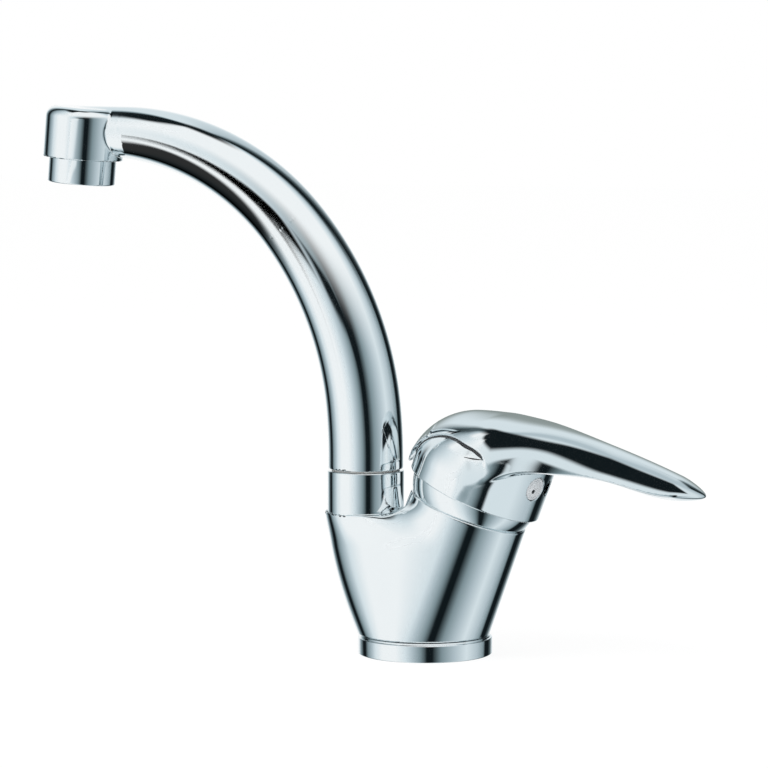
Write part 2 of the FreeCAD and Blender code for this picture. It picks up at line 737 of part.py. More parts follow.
def make_retainers():
    """Nut that holds the cartridge down, and the round trim ring over it."""
    on_cartridge_axis(turned("cartridge_nut", [
        ("cartridge_bore_radius", "-mouth_depth"),
        ("mouth_radius", "-mouth_depth"),
        ("mouth_radius", "housing_shoulder + nut_flange_thickness"),
        ("nut_flange_bore", "housing_shoulder + nut_flange_thickness"),
        ("nut_flange_bore", "housing_shoulder"),
        ("cartridge_bore_radius", "housing_shoulder"),
    ]))
    ball = sphere("trim_ball", TRIM_RADIUS, "pivot_level")
    slab = cylinder("trim_slab", "overrun", "trim_height")
    bore = cylinder("trim_bore", "trim_bore_radius", "trim_height")
    on_cartridge_axis(cut("trim_ring", shared("trim_zone", [ball, slab]), [bore]))


def aside(name, piece):
    """Turn a piece of the handle about the axis, from the blade's side toward -Y."""
    piece = joined_alone(name, piece)
    piece.Placement = FreeCAD.Placement(Vector(), FreeCAD.Rotation(Vector(0, 0, -1), size("button_turn")))
    piece.setExpression("Placement.Rotation.Angle", linked("button_turn"))
    return piece


def blade_section(number, station_share, width_share, height_share, rise_share):
    section = doc.addObject("Part::Ellipse", f"blade_section_{number}")
    bind(section, MajorRadius=f"blade_half_width * {width_share}",
         MinorRadius=f"blade_half_height * {height_share}")
    upright = FreeCAD.Rotation(Vector(0, 1, 0), Vector(0, 0, 1), Vector(1, 0, 0), "XYZ")
    section.Placement = FreeCAD.Placement(Vector(), upright)
    return place(section, x=f"-blade_start + (blade_length + blade_start) * {station_share}",
                 z=f"blade_root_level + blade_tip_rise * {rise_share}")


def make_handle():
    """Hollow dome with a hood, a tapering blade and a boss for the stem."""
    skirt = cylinder("skirt", SKIRT_RADIUS, "skirt_level")
    dome = doc.addObject("Part::Ellipsoid", "dome")
    bind(dome, Radius1=DOME_HEIGHT, Radius2=SKIRT_RADIUS, Radius3=SKIRT_RADIUS, Angle1="0")
    place(dome, z="skirt_level")
    front = shared("skirt_front", [
        cylinder("front_round", SKIRT_RADIUS, "skirt_front_top"),
        box("front_block", "overrun", "overrun", "overrun", "skirt_front_start", "0"),
    ])
    hood = cut("hood", sphere("hood_ball", HOOD_RADIUS, "pivot_level"), [
        cylinder("cheek", "cheek_radius", "overrun", "-cheek_offset", "-overrun / 2", "cheek_level", "y"),
        box("hood_front", "overrun", "overrun", "overrun", "-cheek_offset", "cheek_front_level - overrun"),
    ])
    blade = doc.addObject("Part::Loft", "blade")
    blade.Sections = [
        blade_section(number, *shares) for number, shares in enumerate(zip(
            BLADE_STATION_SHARES, BLADE_WIDTH_SHARES, BLADE_HEIGHT_SHARES, BLADE_RISE_SHARES))
    ]
    blade.Solid = True
    slant = box("below_skirt", "2 * overrun", "2 * overrun", "overrun", "-overrun", "-overrun")
    slant = joined_alone("skirt_cut", slant)
    slant.Placement = FreeCAD.Placement(Vector(), FreeCAD.Rotation(Vector(0, 1, 0), size("skirt_slant")))
    slant.setExpression("Placement.Rotation.Angle", linked("skirt_slant"))
    place(slant, z="skirt_bottom")
    cavity = sphere("handle_cavity", f"{TRIM_RADIUS} + handle_clearance", "pivot_level")
    shell = cut("handle_shell", joined("handle_outside", [skirt, dome, front, hood, blade]), [cavity, slant])
    boss = shared("stem_boss", [
        joined("boss_solid", [
            cylinder("boss_round", "boss_radius", f"{DOME_TOP} - boss_bottom", z="boss_bottom"),
            cylinder("screw_boss", "screw_boss_radius", "screw_boss_length", "0", "0", "screw_level", "x"),
        ]),
        box("boss_limit", "overrun", "overrun", "overrun", "-overrun / 2", "boss_bottom - screw_boss_radius"),
    ])
    cuts = [
        box("stem_socket", "stem_width", "stem_width", "stem_top", "-stem_width / 2", "0"),
        cylinder("screw_thread", "screw_radius", "screw_boss_length", "0", "0", "screw_level", "x"),
        cylinder("screw_access", "screw_access_radius", SKIRT_RADIUS,
                 "screw_boss_length", "0", "screw_level", "x"),
        aside("button_recess", cylinder("recess_round", "button_radius", "overrun",
                                        BUTTON_FLOOR, "0", "screw_level", "x")),
    ]
    on_cartridge_axis(cut("handle", joined("handle_solid", [shell, boss]), cuts))

    screw = cylinder("screw_round", "screw_radius", "screw_length", "stem_width / 2", "0", "screw_level", "x")
    key = cylinder("screw_key", "hex_radius", "overrun", "stem_width / 2 + screw_length - hex_depth", "0",
                   "screw_level", "x")
    on_cartridge_axis(cut("set_screw", screw, [key]))
    button = cylinder("button_round", "button_radius", "button_thickness",
                      BUTTON_FLOOR, "0", "screw_level", "x")
    on_cartridge_axis(joined_alone("index_button", aside("button_beside", button)))


PIECES = (
    "body", "base_ring", "base_gasket",
    "spout_collar", "slip_washer", "spout", "spout_tail", "upper_o_ring", "lower_o_ring", "retaining_clip",
    "aerator_collar", "aerator_insert", "aerator_screen", "aerator_washer",
    "cartridge_housing", "cartridge_base", "hot_port_seal", "cold_port_seal", "mixed_port_seal",
    "fixed_ceramic_disc", "moving_ceramic_disc", "disc_carrier",
    "turret", "turret_o_ring", "stem", "stem_pin", "cartridge_nut", "trim_ring",
    "handle", "set_screw", "index_button",
)

make_body()
make_base()
make_spout_column()
make_spout()
make_aerator()
make_cartridge()
make_turret()
make_stem()
make_retainers()
make_handle()
doc.recompute()

for item in doc.Objects:
    if "Invalid" in item.State or "Error" in item.State:
        raise RuntimeError(f"{item.Name} did not build: {item.State}")
for label in PIECES:
    piece = doc.getObject(label)
    if piece.Shape.isNull() or not piece.Shape.isValid():
        raise RuntimeError(f"{label} has no valid shape")
    if len(piece.Shape.Solids) != 1:
        raise RuntimeError(f"{label} has {len(piece.Shape.Solids)} solids")
    piece.Shape.exportStep(f"parts/{label}.step")
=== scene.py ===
import json
import math

import bpy
import numpy as np
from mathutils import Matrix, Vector


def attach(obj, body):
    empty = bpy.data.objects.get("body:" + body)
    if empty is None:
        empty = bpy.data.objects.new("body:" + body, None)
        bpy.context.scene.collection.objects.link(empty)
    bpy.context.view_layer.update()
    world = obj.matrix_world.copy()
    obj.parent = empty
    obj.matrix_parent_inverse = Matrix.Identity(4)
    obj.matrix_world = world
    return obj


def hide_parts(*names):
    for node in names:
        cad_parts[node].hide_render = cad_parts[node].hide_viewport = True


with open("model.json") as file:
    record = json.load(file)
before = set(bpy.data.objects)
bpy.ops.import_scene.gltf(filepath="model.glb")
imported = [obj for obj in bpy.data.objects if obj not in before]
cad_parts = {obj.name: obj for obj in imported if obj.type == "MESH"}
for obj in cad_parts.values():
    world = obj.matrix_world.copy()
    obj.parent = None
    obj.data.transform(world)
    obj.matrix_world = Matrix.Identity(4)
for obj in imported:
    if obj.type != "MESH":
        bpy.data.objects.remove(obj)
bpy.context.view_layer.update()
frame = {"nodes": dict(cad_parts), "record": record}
nodes = frame["nodes"]
scene = bpy.context.scene
MM = 0.001
EAST, NORTH, UP = np.eye(3)

# Sizes that several pieces share, in millimetres. Lever, cartridge and branch lean by TILT about the rim.
TILT = math.radians(20.2)
RIM = np.array([16.9, 0.0, 54.4])
AXIS = np.array([math.sin(TILT), 0.0, math.cos(TILT)])
ALONG = np.array([math.cos(TILT), 0.0, -math.sin(TILT)])
RIM_RADIUS = 22.4
PIVOT_LEVEL = 10.0
TRIM_INSET = 0.6
TRIM_RADIUS = math.hypot(RIM_RADIUS - TRIM_INSET, PIVOT_LEVEL)
SPOUT_X = -23.2
SPOUT_FOOT_Z = 68.1
BUTTON_TURN = math.radians(22)
BUTTON_LEVEL, BUTTON_SEAT = 18.6, 23.5


# Materials.
NOISE_LOW, NOISE_HIGH = 0.3, 0.7
GRAINS_PER_PATCH = 6


def new_material(name):
    """A material with nodes, and its node tree."""
    material = bpy.data.materials.new(name)
    material.use_nodes = True
    return material, material.node_tree


def noise(tree, scale, detail, stretch=(1, 1, 1)):
    """Noise in the piece's own coordinates."""
    coords = tree.nodes.new("ShaderNodeTexCoord")
    mapping = tree.nodes.new("ShaderNodeMapping")
    mapping.inputs["Scale"].default_value = stretch
    texture = tree.nodes.new("ShaderNodeTexNoise")
    texture.inputs["Scale"].default_value = scale
    texture.inputs["Detail"].default_value = detail
    tree.links.new(coords.outputs["Object"], mapping.inputs["Vector"])
    tree.links.new(mapping.outputs[0], texture.inputs["Vector"])
    return texture.outputs["Fac"]


def spread(tree, value, low, high):
    """Noise spread over the range from low to high."""
    node = tree.nodes.new("ShaderNodeMapRange")
    for socket, number in zip(node.inputs[1:5], (NOISE_LOW, NOISE_HIGH, low, high)):
        socket.default_value = number
    tree.links.new(value, node.inputs[0])
    return node.outputs[0]


def tint(tree, value, first, second):
    """A colour between two, by noise."""
    node = tree.nodes.new("ShaderNodeMix")
    node.data_type = "RGBA"
    node.inputs[6].default_value = (*first, 1)
    node.inputs[7].default_value = (*second, 1)
    tree.links.new(value, node.inputs[0])
    return node.outputs[2]


def bump(tree, value, strength, distance):
    """A normal that noise disturbs."""
    node = tree.nodes.new("ShaderNodeBump")
    node.inputs["Strength"].default_value = strength
    node.inputs["Distance"].default_value = distance
    tree.links.new(value, node.inputs["Height"])
    return node.outputs[0]


def finish(name, first, second, rough, metallic, scale, height, depth, stretch=(1, 1, 1)):
    """A material whose colour, gloss and surface vary with noise."""
    material, tree = new_material(name)
    shader = tree.nodes["Principled BSDF"]
    shader.inputs["Metallic"].default_value = metallic
    grain = noise(tree, scale, 4.0, stretch)
    patches = noise(tree, scale / GRAINS_PER_PATCH, 2.0)
    tree.links.new(tint(tree, patches, first, second), shader.inputs["Base Color"])
    tree.links.new(spread(tree, grain, *rough), shader.inputs["Roughness"])
    tree.links.new(bump(tree, grain, height, depth), shader.inputs["Normal"])
    return material


# Two colours, range of roughness, metallic, grain, strength and depth of the bump, stretch of the grain.
FINISHES = {name: finish(name, *values) for name, values in {
    "chrome": ((0.82, 0.87, 0.89), (0.86, 0.90, 0.915), (0.045, 0.075), 1.0, 240.0, 0.004, 0.00005),
    "rubber": ((0.018, 0.018, 0.018), (0.035, 0.034, 0.033), (0.55, 0.75), 0.0, 900.0, 0.25, 0.0001),
    "brass": ((0.62, 0.44, 0.19), (0.72, 0.54, 0.27), (0.22, 0.36), 1.0, 300.0, 0.08, 0.0001, (1, 1, 6)),
    "white_plastic": ((0.80, 0.80, 0.78), (0.86, 0.86, 0.84), (0.35, 0.48), 0.0, 700.0, 0.1, 0.0001),
    "grey_plastic": ((0.70, 0.73, 0.76), (0.76, 0.79, 0.81), (0.22, 0.32), 0.0, 700.0, 0.08, 0.0001),
    "ceramic": ((0.88, 0.87, 0.83), (0.93, 0.92, 0.89), (0.12, 0.2), 0.0, 900.0, 0.04, 0.00005),
    "steel": ((0.52, 0.53, 0.54), (0.62, 0.63, 0.64), (0.24, 0.36), 1.0, 500.0, 0.1, 0.0001, (1, 1, 8)),
    # dark_paint colours the index dot, and also the painted shadow lines along the handle's hood and hook.
    "dark_paint": ((0.02, 0.022, 0.025), (0.035, 0.036, 0.04), (0.3, 0.4), 0.0, 800.0, 0.1, 0.0001),
}.items()}
for row in frame["record"]["subparts"]:
    materials = nodes[row["node"]].data.materials
    materials.clear()
    materials.append(FINISHES[row["material_slot"]])


# Helpers for meshes. A field is a signed distance in millimetres, below zero inside the piece.
SLOPE_REACH = 0.02
RELAX_ROUNDS, PULLS = 5, 3
CORNER_STEPS = 7


def add_piece(name, points, faces, body, node, finish_name="chrome", normals=None):
    """A piece from points in millimetres, riding on a body in place of a CAD node."""
    mesh = bpy.data.meshes.new(name)
    mesh.from_pydata((np.asarray(points) * MM).tolist(), [], [list(map(int, f)) for f in faces])
    mesh.polygons.foreach_set("use_smooth", np.ones(len(mesh.polygons), bool))
    if normals is not None:
        mesh.normals_split_custom_set_from_vertices(normals.tolist())
    mesh.materials.append(FINISHES[finish_name])
    piece = bpy.data.objects.new(name, mesh)
    scene.collection.objects.link(piece)
    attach(piece, body)
    if node:
        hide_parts(node)
    return piece


def slope(field, points):
    """Gradient of a field at points."""
    columns = []
    for axis in range(3):
        shift = np.zeros(3)
        shift[axis] = SLOPE_REACH
        ahead, back = points + shift, points - shift
        columns.append((field(*ahead.T) - field(*back.T)) / (2 * SLOPE_REACH))
    return np.stack(columns, 1)


def skin(field, low, high, step):
    """Points, quads and normals of the surface where a field is zero."""
    axes = [np.arange(a, b + step, step) for a, b in zip(low, high)]
    shape = np.array([len(a) for a in axes])
    y, z = np.meshgrid(axes[1], axes[2], indexing="ij")
    values = np.stack([field(np.full_like(y, x), y, z) for x in axes[0]])
    inside = values < 0
    total = np.zeros((*(shape - 1), 3))
    count = np.zeros(shape - 1)
    crossings = []
    # Each cell that the surface passes gets one point, the mean of the crossings on its edges.
    for axis in range(3):
        near = [slice(None)] * 3
        far = [slice(None)] * 3
        near[axis], far[axis] = slice(0, -1), slice(1, None)
        a, b = values[tuple(near)], values[tuple(far)]
        crossing = inside[tuple(near)] != inside[tuple(far)]
        crossings.append((crossing, inside[tuple(near)]))
        share = np.where(crossing, a / np.where(crossing, a - b, 1.0), 0.0)
        index = np.stack(np.meshgrid(*[np.arange(n) for n in a.shape], indexing="ij"), -1).astype(float)
        index[..., axis] += share
        others = [i for i in range(3) if i != axis]
        for first in (0, 1):
            for second in (0, 1):
                part = [slice(None)] * 3
                for other, offset in zip(others, (first, second)):
                    part[other] = slice(offset, shape[other] - 1 + offset)
                mask = crossing[tuple(part)]
                total += index[tuple(part)] * mask[..., None]
                count += mask
    used = count > 0
    number = np.full(shape - 1, -1)
    number[used] = np.arange(used.sum())
    points = total[used] / count[used][:, None] * step + np.array(low)
    # Each crossed edge gets one quad, between the four cells round it.
    quads = []
    for axis, (crossing, start_inside) in enumerate(crossings):
        b, c = (axis + 1) % 3, (axis + 2) % 3
        where = np.argwhere(crossing)
        for side in (b, c):
            where = where[(where[:, side] > 0) & (where[:, side] < shape[side] - 1)]
        corners = []
        for back_b, back_c in ((1, 1), (0, 1), (0, 0), (1, 0)):
            cell = where.copy()
            cell[:, b] -= back_b
            cell[:, c] -= back_c
            corners.append(number[tuple(cell.T)])
        quad = np.stack(corners, 1)
        flip = ~start_inside[tuple(where.T)]
        quad[flip] = quad[flip][:, ::-1]
        quads.append(quad)
    quads = np.concatenate(quads)
    pairs = np.concatenate([quads[:, [0, 1]], quads[:, [1, 2]], quads[:, [2, 3]], quads[:, [3, 0]]])
    degree = np.bincount(pairs[:, 0], minlength=len(points))[:, None]
    # The points are evened out and pulled back to the surface by turns.
    for turn in range(RELAX_ROUNDS):
        if turn:
            around = [np.bincount(pairs[:, 0], points[pairs[:, 1], i], len(points)) for i in range(3)]
            points = 0.5 * points + 0.5 * np.stack(around, 1) / degree
        for _ in range(PULLS):
            grade = slope(field, points)
            square = np.maximum((grade ** 2).sum(1), 1e-6)
            pull = np.clip(field(*points.T) / square, -step, step)
            points = points - pull[:, None] * grade
    normals = slope(field, points)
    normals /= np.linalg.norm(normals, axis=1)[:, None]
    return points, quads, normals


def blend_in(a, b, k):
    """Union of two fields with a fillet."""
    h = np.clip(0.5 + 0.5 * (b - a) / k, 0, 1)
    return b + (a - b) * h - k * h * (1 - h)


def blend_out(a, b, k):
    """Common part of two fields with a rounded edge."""
    return -blend_in(-a, -b, k)


def round_corner(a, b, radius):
    """Common part of two fields whose edge is an arc. Both fields are given from the arc's centre."""
    return np.hypot(np.maximum(a, 0), np.maximum(b, 0)) + np.minimum(np.maximum(a, b), 0) - radius


def ease(value, start, end):
    """A smooth step from zero to one."""
    t = np.clip((value - start) / (end - start), 0, 1)
    return t * t * (3 - 2 * t)


def spline(stations, values):
    """Natural cubic curve through values at stations."""
    x, y = np.asarray(stations, float), np.asarray(values, float)
    gap = np.diff(x)
    count = len(x)
    system, right = np.eye(count), np.zeros(count)
    for i in range(1, count - 1):
        system[i, i - 1: i + 2] = gap[i - 1], 2 * (gap[i - 1] + gap[i]), gap[i]
        right[i] = 6 * ((y[i + 1] - y[i]) / gap[i] - (y[i] - y[i - 1]) / gap[i - 1])
    bend = np.linalg.solve(system, right)

    def curve(at):
        at = np.clip(at, x[0], x[-1])
        i = np.clip(np.searchsorted(x, at) - 1, 0, count - 2)
        h, a, b = gap[i], x[i + 1] - at, at - x[i]
        return (bend[i] * a ** 3 + bend[i + 1] * b ** 3) / (6 * h) + (y[i] / h - bend[i] * h / 6) * a + (
            y[i + 1] / h - bend[i + 1] * h / 6) * b

    return curve


def lathe(profile, origin, axis, side, segments=160):
    """Points and faces of a turned ring from a closed profile of (radius, height, rounding of the corner)."""
    outline = []
    count = len(profile)
    for i, (_, _, rounding) in enumerate(profile):
        before, here, after = (np.array(profile[j % count][:2], float) for j in (i - 1, i, i + 1))
        if not rounding:
            outline.append(here)
            continue
        one, two = before - here, after - here
        one, two = one / np.linalg.norm(one), two / np.linalg.norm(two)
        half = math.acos(np.clip(one @ two, -1, 1)) / 2
        centre = here + (one + two) / np.linalg.norm(one + two) * rounding / math.sin(half)
        start = here + one * rounding / math.tan(half)
        end = here + two * rounding / math.tan(half)
        for share in np.linspace(0, 1, CORNER_STEPS):
            point = start + (end - start) * share - centre
            outline.append(centre + point / np.linalg.norm(point) * rounding)
    third = np.cross(axis, side)
    turns = np.linspace(0, 2 * math.pi, segments, endpoint=False)
    points = np.array([origin + axis * h + (side * math.cos(t) + third * math.sin(t)) * r
                       for t in turns for r, h in outline])
    size = len(outline)
    faces = []
    for i in range(segments):
        for j in range(size):
            a, b = i * size, ((i + 1) % segments) * size
            faces.append((a + j, b + j, b + (j + 1) % size, a + (j + 1) % size))
    return points, faces


# Spout: a tapered tube of three bends and a straight arm, which ends in a barrel that leans by LEAN.
BEND_START_Z = 72.1
BEND_SIZES = (196.9, 5.5), (124.7, 33.5), (93.6, 47.4)  # radius, angle in degrees
ARM_LENGTH = 17.2
TUBE_RADIUS, TUBE_TAPER, TAPER_POWER, TUBE_WALL = 14, 5.22, 2.02, 1.8
LEAN = math.radians(4.6)
BARREL_DROP, BARREL_RADIUS, BARREL_TOP, BARREL_EDGE = 11.1, 15.1, 19.4, 4.0
CHAMBER_RADIUS, CHAMBER_STEP, CHAMBER_THROAT, CHAMBER_TOP = 11.4, 9, 9.0, 15
BARREL_FILLET, SPOUT_EDGE = 0.6, 0.5
OUTLET_SKIN_X = -116.5
FAR_AWAY = 1e3
SPOUT_BOX, SPOUT_CELL = ((-153, -16.5, 66.5), (-7, 16.5, 206)), 0.75


def spout_bends():
    """The bends as (centre, radius, first and last heading, travel), then where and how the arm starts."""
    point, heading, travel, bends = np.array([SPOUT_X, BEND_START_Z]), 0.0, 0.0, []
    for radius, angle in BEND_SIZES:
        angle = math.radians(angle)
        centre = point - radius * np.array([math.cos(heading), math.sin(heading)])
        bends.append((centre, radius, heading, heading + angle, travel))
        heading += angle
        travel += radius * angle
        point = centre + radius * np.array([math.cos(heading), math.sin(heading)])
    return bends, point, heading, travel


BENDS, ARM_START, ARM_HEADING, ARM_TRAVEL = spout_bends()
ARM_WAY = np.array([-math.sin(ARM_HEADING), math.cos(ARM_HEADING)])
ARM_END = ARM_START + ARM_WAY * ARM_LENGTH
SPOUT_LENGTH = ARM_TRAVEL + ARM_LENGTH
OUTLET_AXIS = np.array([math.sin(LEAN), 0.0, math.cos(LEAN)])
OUTLET_SIDE = np.array([math.cos(LEAN), 0.0, -math.sin(LEAN)])
OUTLET = np.array([ARM_END[0], 0, ARM_END[1]]) - OUTLET_AXIS * BARREL_DROP


def tube_side(dx, y, dz, travel):
    """Distance to the tube's wall, from the offset to its middle line and the travel along it."""
    taper = TUBE_TAPER * (travel / SPOUT_LENGTH) ** TAPER_POWER
    return np.sqrt(dx ** 2 + dz ** 2 + y ** 2) - TUBE_RADIUS + taper


def spout_tube(x, y, z):
    """The tube's outside, from the foot to the end of the arm."""
    best = np.full(np.shape(x), FAR_AWAY)
    for centre, radius, start, end, travel in BENDS:
        dx, dz = x - centre[0], z - centre[1]
        angle = np.clip(np.arctan2(dz, dx), start, end)
        bend = tube_side(dx - radius * np.cos(angle), y, dz - radius * np.sin(angle),
                         travel + radius * (angle - start))
        best = np.minimum(best, bend)
    dx, dz = x - ARM_START[0], z - ARM_START[1]
    run = np.clip(dx * ARM_WAY[0] + dz * ARM_WAY[1], 0, ARM_LENGTH)
    best = np.minimum(best, tube_side(dx - run * ARM_WAY[0], y, dz - run * ARM_WAY[1], ARM_TRAVEL + run))
    foot = np.sqrt((x - SPOUT_X) ** 2 + y ** 2) - TUBE_RADIUS
    return np.where(z < BEND_START_Z, foot, best)


def outlet_frame(x, y, z):
    """Distance from the outlet's axis, and level along it."""
    dx, dz = x - OUTLET[0], z - OUTLET[2]
    side = dx * OUTLET_SIDE[0] + dz * OUTLET_SIDE[2]
    return np.sqrt(side ** 2 + y ** 2), dx * OUTLET_AXIS[0] + dz * OUTLET_AXIS[2]


def spout_field(x, y, z):
    """Tube and barrel, less the water way and the aerator's chamber."""
    around, level = outlet_frame(x, y, z)
    barrel = round_corner(around - BARREL_RADIUS + BARREL_EDGE, level - BARREL_TOP + BARREL_EDGE, BARREL_EDGE)
    barrel = blend_out(barrel, -level, SPOUT_EDGE)
    tube = spout_tube(x, y, z)
    outside = blend_in(tube, barrel, BARREL_FILLET)
    outside = blend_out(outside, SPOUT_FOOT_Z - z, SPOUT_EDGE)
    chamber_radius = np.where(level < CHAMBER_STEP, CHAMBER_RADIUS, CHAMBER_THROAT)
    chamber = np.maximum(around - chamber_radius, level - CHAMBER_TOP)
    hollow = np.minimum(tube + TUBE_WALL, chamber)
    return np.maximum(outside, -hollow)


def share_of(points, faces, normals):
    """The points, faces and normals that some faces use."""
    used, order = np.unique(faces, return_inverse=True)
    return {"points": points[used], "faces": order.reshape(faces.shape), "normals": normals[used]}


points, quads, normals = skin(spout_field, *SPOUT_BOX, SPOUT_CELL)
beyond_arm = points[quads].mean(1)[:, 0] < OUTLET_SKIN_X
arm_share, outlet_share = (share_of(points, quads[chosen], normals) for chosen in (~beyond_arm, beyond_arm))
spout_skin = add_piece("spout_skin", body="spout", node="spout", **arm_share)
add_piece("outlet_skin", body="spout", node="spout", **outlet_share)


# Handle, in its own frame: x along the blade, z along the cartridge's axis, both from the rim's centre.
CHEEK_RADIUS, CHEEK_HEIGHT, CHEEK_LEVEL = 25.4, 22.5, 13
SKIRT_TOP, SKIRT_EDGE, SKIRT_SPAN = 26.5, 2.0, (-2, 14)
SKIRT_LEVEL, SKIRT_SLANT, SKIRT_RIM = 6.8, math.radians(3.3), 0.5
HOOD_RADIUS, HOOD_FADE, HOOD_SPAN = 27.4, 4, (-3, 9)
HOOD_FILLET, CORE_FILLET = 2.0, 0.8
LIP_X, LIP_LEVEL, LIP_RADIUS, LIP_GROWTH = -8, 8.2, 18.5, 2.2
LIP_EDGE, LIP_FADE, LIP_FADE_SPAN, LIP_GROWTH_SPAN = 0.8, 15, (3.5, 18), (-6, 5)
RUN_SPAN = -8, 14
CAVITY_GAP = 0.4
BOSS_RADIUS, BOSS_BOTTOM, BOSS_TOP = 7.4, 17, 34
SCREW_BOSS, SCREW_END, SCREW_BORE, KEY_BORE = 4.5, 11, 2.5, 3.0
STEM_HALF, STEM_TOP = 4, 31
BUTTON_BORE = 4.5
# The blade's half width, top, widest level and underside at stations along it, and its cross-section.
STATIONS = [-20, -4, 7.7, 17.4, 26.2, 38.9, 53.5, 66.8, 77, 81.4]
blade_width = spline(STATIONS, [14, 23.5, 24.2, 20.4, 16.6, 13.5, 12, 10.2, 8.2, 7])
blade_top = spline(STATIONS, [25.5, 36.6, 39.6, 41.2, 42.1, 42.65, 42.7, 42.3, 41.6, 41.2])
blade_level = spline(STATIONS, [14, 19, 21.5, 25.2, 28, 31, 33, 34.6, 37.6, 38.4])
blade_under = spline(STATIONS, [2.5, 5, 13, 22.3, 25.8, 29.1, 31.1, 32.0, 34.6, 35.8])
BLADE_START, BLADE_END, BLADE_ROUND, TIP_LEAST = STATIONS[0], STATIONS[-1], 11.4, 0.002
TOP_POWER, TOP_SPAN = 3.0, (12, 45)
UNDER_POWER, UNDER_SPAN = 4.0, (22, 45)
ELLIPSE_POWER = 2.0
HANDLE_BOX, HANDLE_CELL = ((-30, -28, 3), (83, 28, 46)), 0.45


def blade_field(x, y, z):
    """A flat bar whose section turns from a rounded box into an ellipse along its length."""
    tip = np.maximum(x - BLADE_END + BLADE_ROUND, 0) / BLADE_ROUND
    narrow = np.sqrt(np.maximum(1 - tip ** 2, TIP_LEAST))
    level = blade_level(x)
    above, under = (blade_top(x) - level) * narrow, (level - blade_under(x)) * narrow
    wide = blade_width(x) * narrow
    tall = np.where(z > level, above, under)
    power = np.where(z > level, TOP_POWER - (TOP_POWER - ELLIPSE_POWER) * ease(x, *TOP_SPAN),
                     UNDER_POWER - (UNDER_POWER - ELLIPSE_POWER) * ease(x, *UNDER_SPAN))
    blade = (np.abs(y / wide) ** power + np.abs((z - level) / tall) ** power) ** (1 / power)
    blade = (blade - 1) * np.minimum(wide, above)
    return np.maximum(blade, np.maximum(x - BLADE_END, BLADE_START - x))


def handle_outside(x, y, z):
    """A round cheek and skirt, and over them a hood that runs out into the blade and ends in a lip."""
    around = np.hypot(x, y)
    rise = np.maximum(z - CHEEK_LEVEL, 0)
    ball = (np.sqrt((around / CHEEK_RADIUS) ** 2 + (rise / CHEEK_HEIGHT) ** 2) - 1) * CHEEK_RADIUS
    skirt = blend_out(around - CHEEK_RADIUS, z - SKIRT_TOP, SKIRT_EDGE)
    core = ball + (skirt - ball) * ease(x, *SKIRT_SPAN)
    hood = np.sqrt(around ** 2 + (z - PIVOT_LEVEL) ** 2) - HOOD_RADIUS + HOOD_FADE * ease(x, *HOOD_SPAN)
    hood = blend_in(hood, blade_field(x, y, z), HOOD_FILLET)
    hood = blend_in(core, hood, CORE_FILLET)
    beyond = np.hypot(x - LIP_X, z - LIP_LEVEL) - LIP_RADIUS - LIP_GROWTH * ease(x, *LIP_GROWTH_SPAN)
    lip = ease(beyond, -LIP_EDGE - LIP_FADE * ease(x, *LIP_FADE_SPAN), LIP_EDGE)
    run = ease(x, *RUN_SPAN)
    return core + (hood - core) * (lip + run - lip * run)


def handle_field(x, y, z):
    """A shell over the trim ring with the stem's boss, the screw's hole and the recess."""
    around = np.hypot(x, y)
    cavity = np.sqrt(around ** 2 + (z - PIVOT_LEVEL) ** 2) - TRIM_RADIUS - CAVITY_GAP
    below = (SKIRT_LEVEL - z) * math.cos(SKIRT_SLANT) - x * math.sin(SKIRT_SLANT)
    shell = blend_out(np.maximum(handle_outside(x, y, z), -cavity), below, SKIRT_RIM)
    boss = np.maximum(np.maximum(around - BOSS_RADIUS, BOSS_BOTTOM - z), z - BOSS_TOP)
    screw = np.hypot(y, z - BUTTON_LEVEL)
    boss = np.minimum(boss, np.maximum(np.maximum(screw - SCREW_BOSS, -x), x - SCREW_END))
    socket = np.maximum(np.maximum(np.abs(x) - STEM_HALF, np.abs(y) - STEM_HALF), z - STEM_TOP)
    whole = np.maximum(np.minimum(shell, boss), -socket)
    drill = np.maximum(screw - np.where(x < SCREW_END, SCREW_BORE, KEY_BORE), -x)
    out = x * math.cos(BUTTON_TURN) - y * math.sin(BUTTON_TURN)
    beside = x * math.sin(BUTTON_TURN) + y * math.cos(BUTTON_TURN)
    recess = np.maximum(np.hypot(beside, z - BUTTON_LEVEL) - BUTTON_BORE, BUTTON_SEAT - out)
    return np.maximum(whole, -np.minimum(drill, recess))


def upright(vectors):
    """Vectors of the handle's frame, turned into the part's frame."""
    return vectors[:, :1] * ALONG + vectors[:, 1:2] * NORTH + vectors[:, 2:] * AXIS


points, quads, normals = skin(handle_field, *HANDLE_BOX, HANDLE_CELL)
handle_skin = add_piece(
    "handle_skin", RIM + upright(points), quads, "lever", "handle", normals=upright(normals))

# Painted shadow lines on the handle's cheeks: dark tubes that stand in for the shade in the gap where the
# hood meets the cheek.
SHADOW_LINE_SIDES = 10
CHEEK_OUT, CHEEK_IN, CHEEK_STEPS = -30, -6, 1200


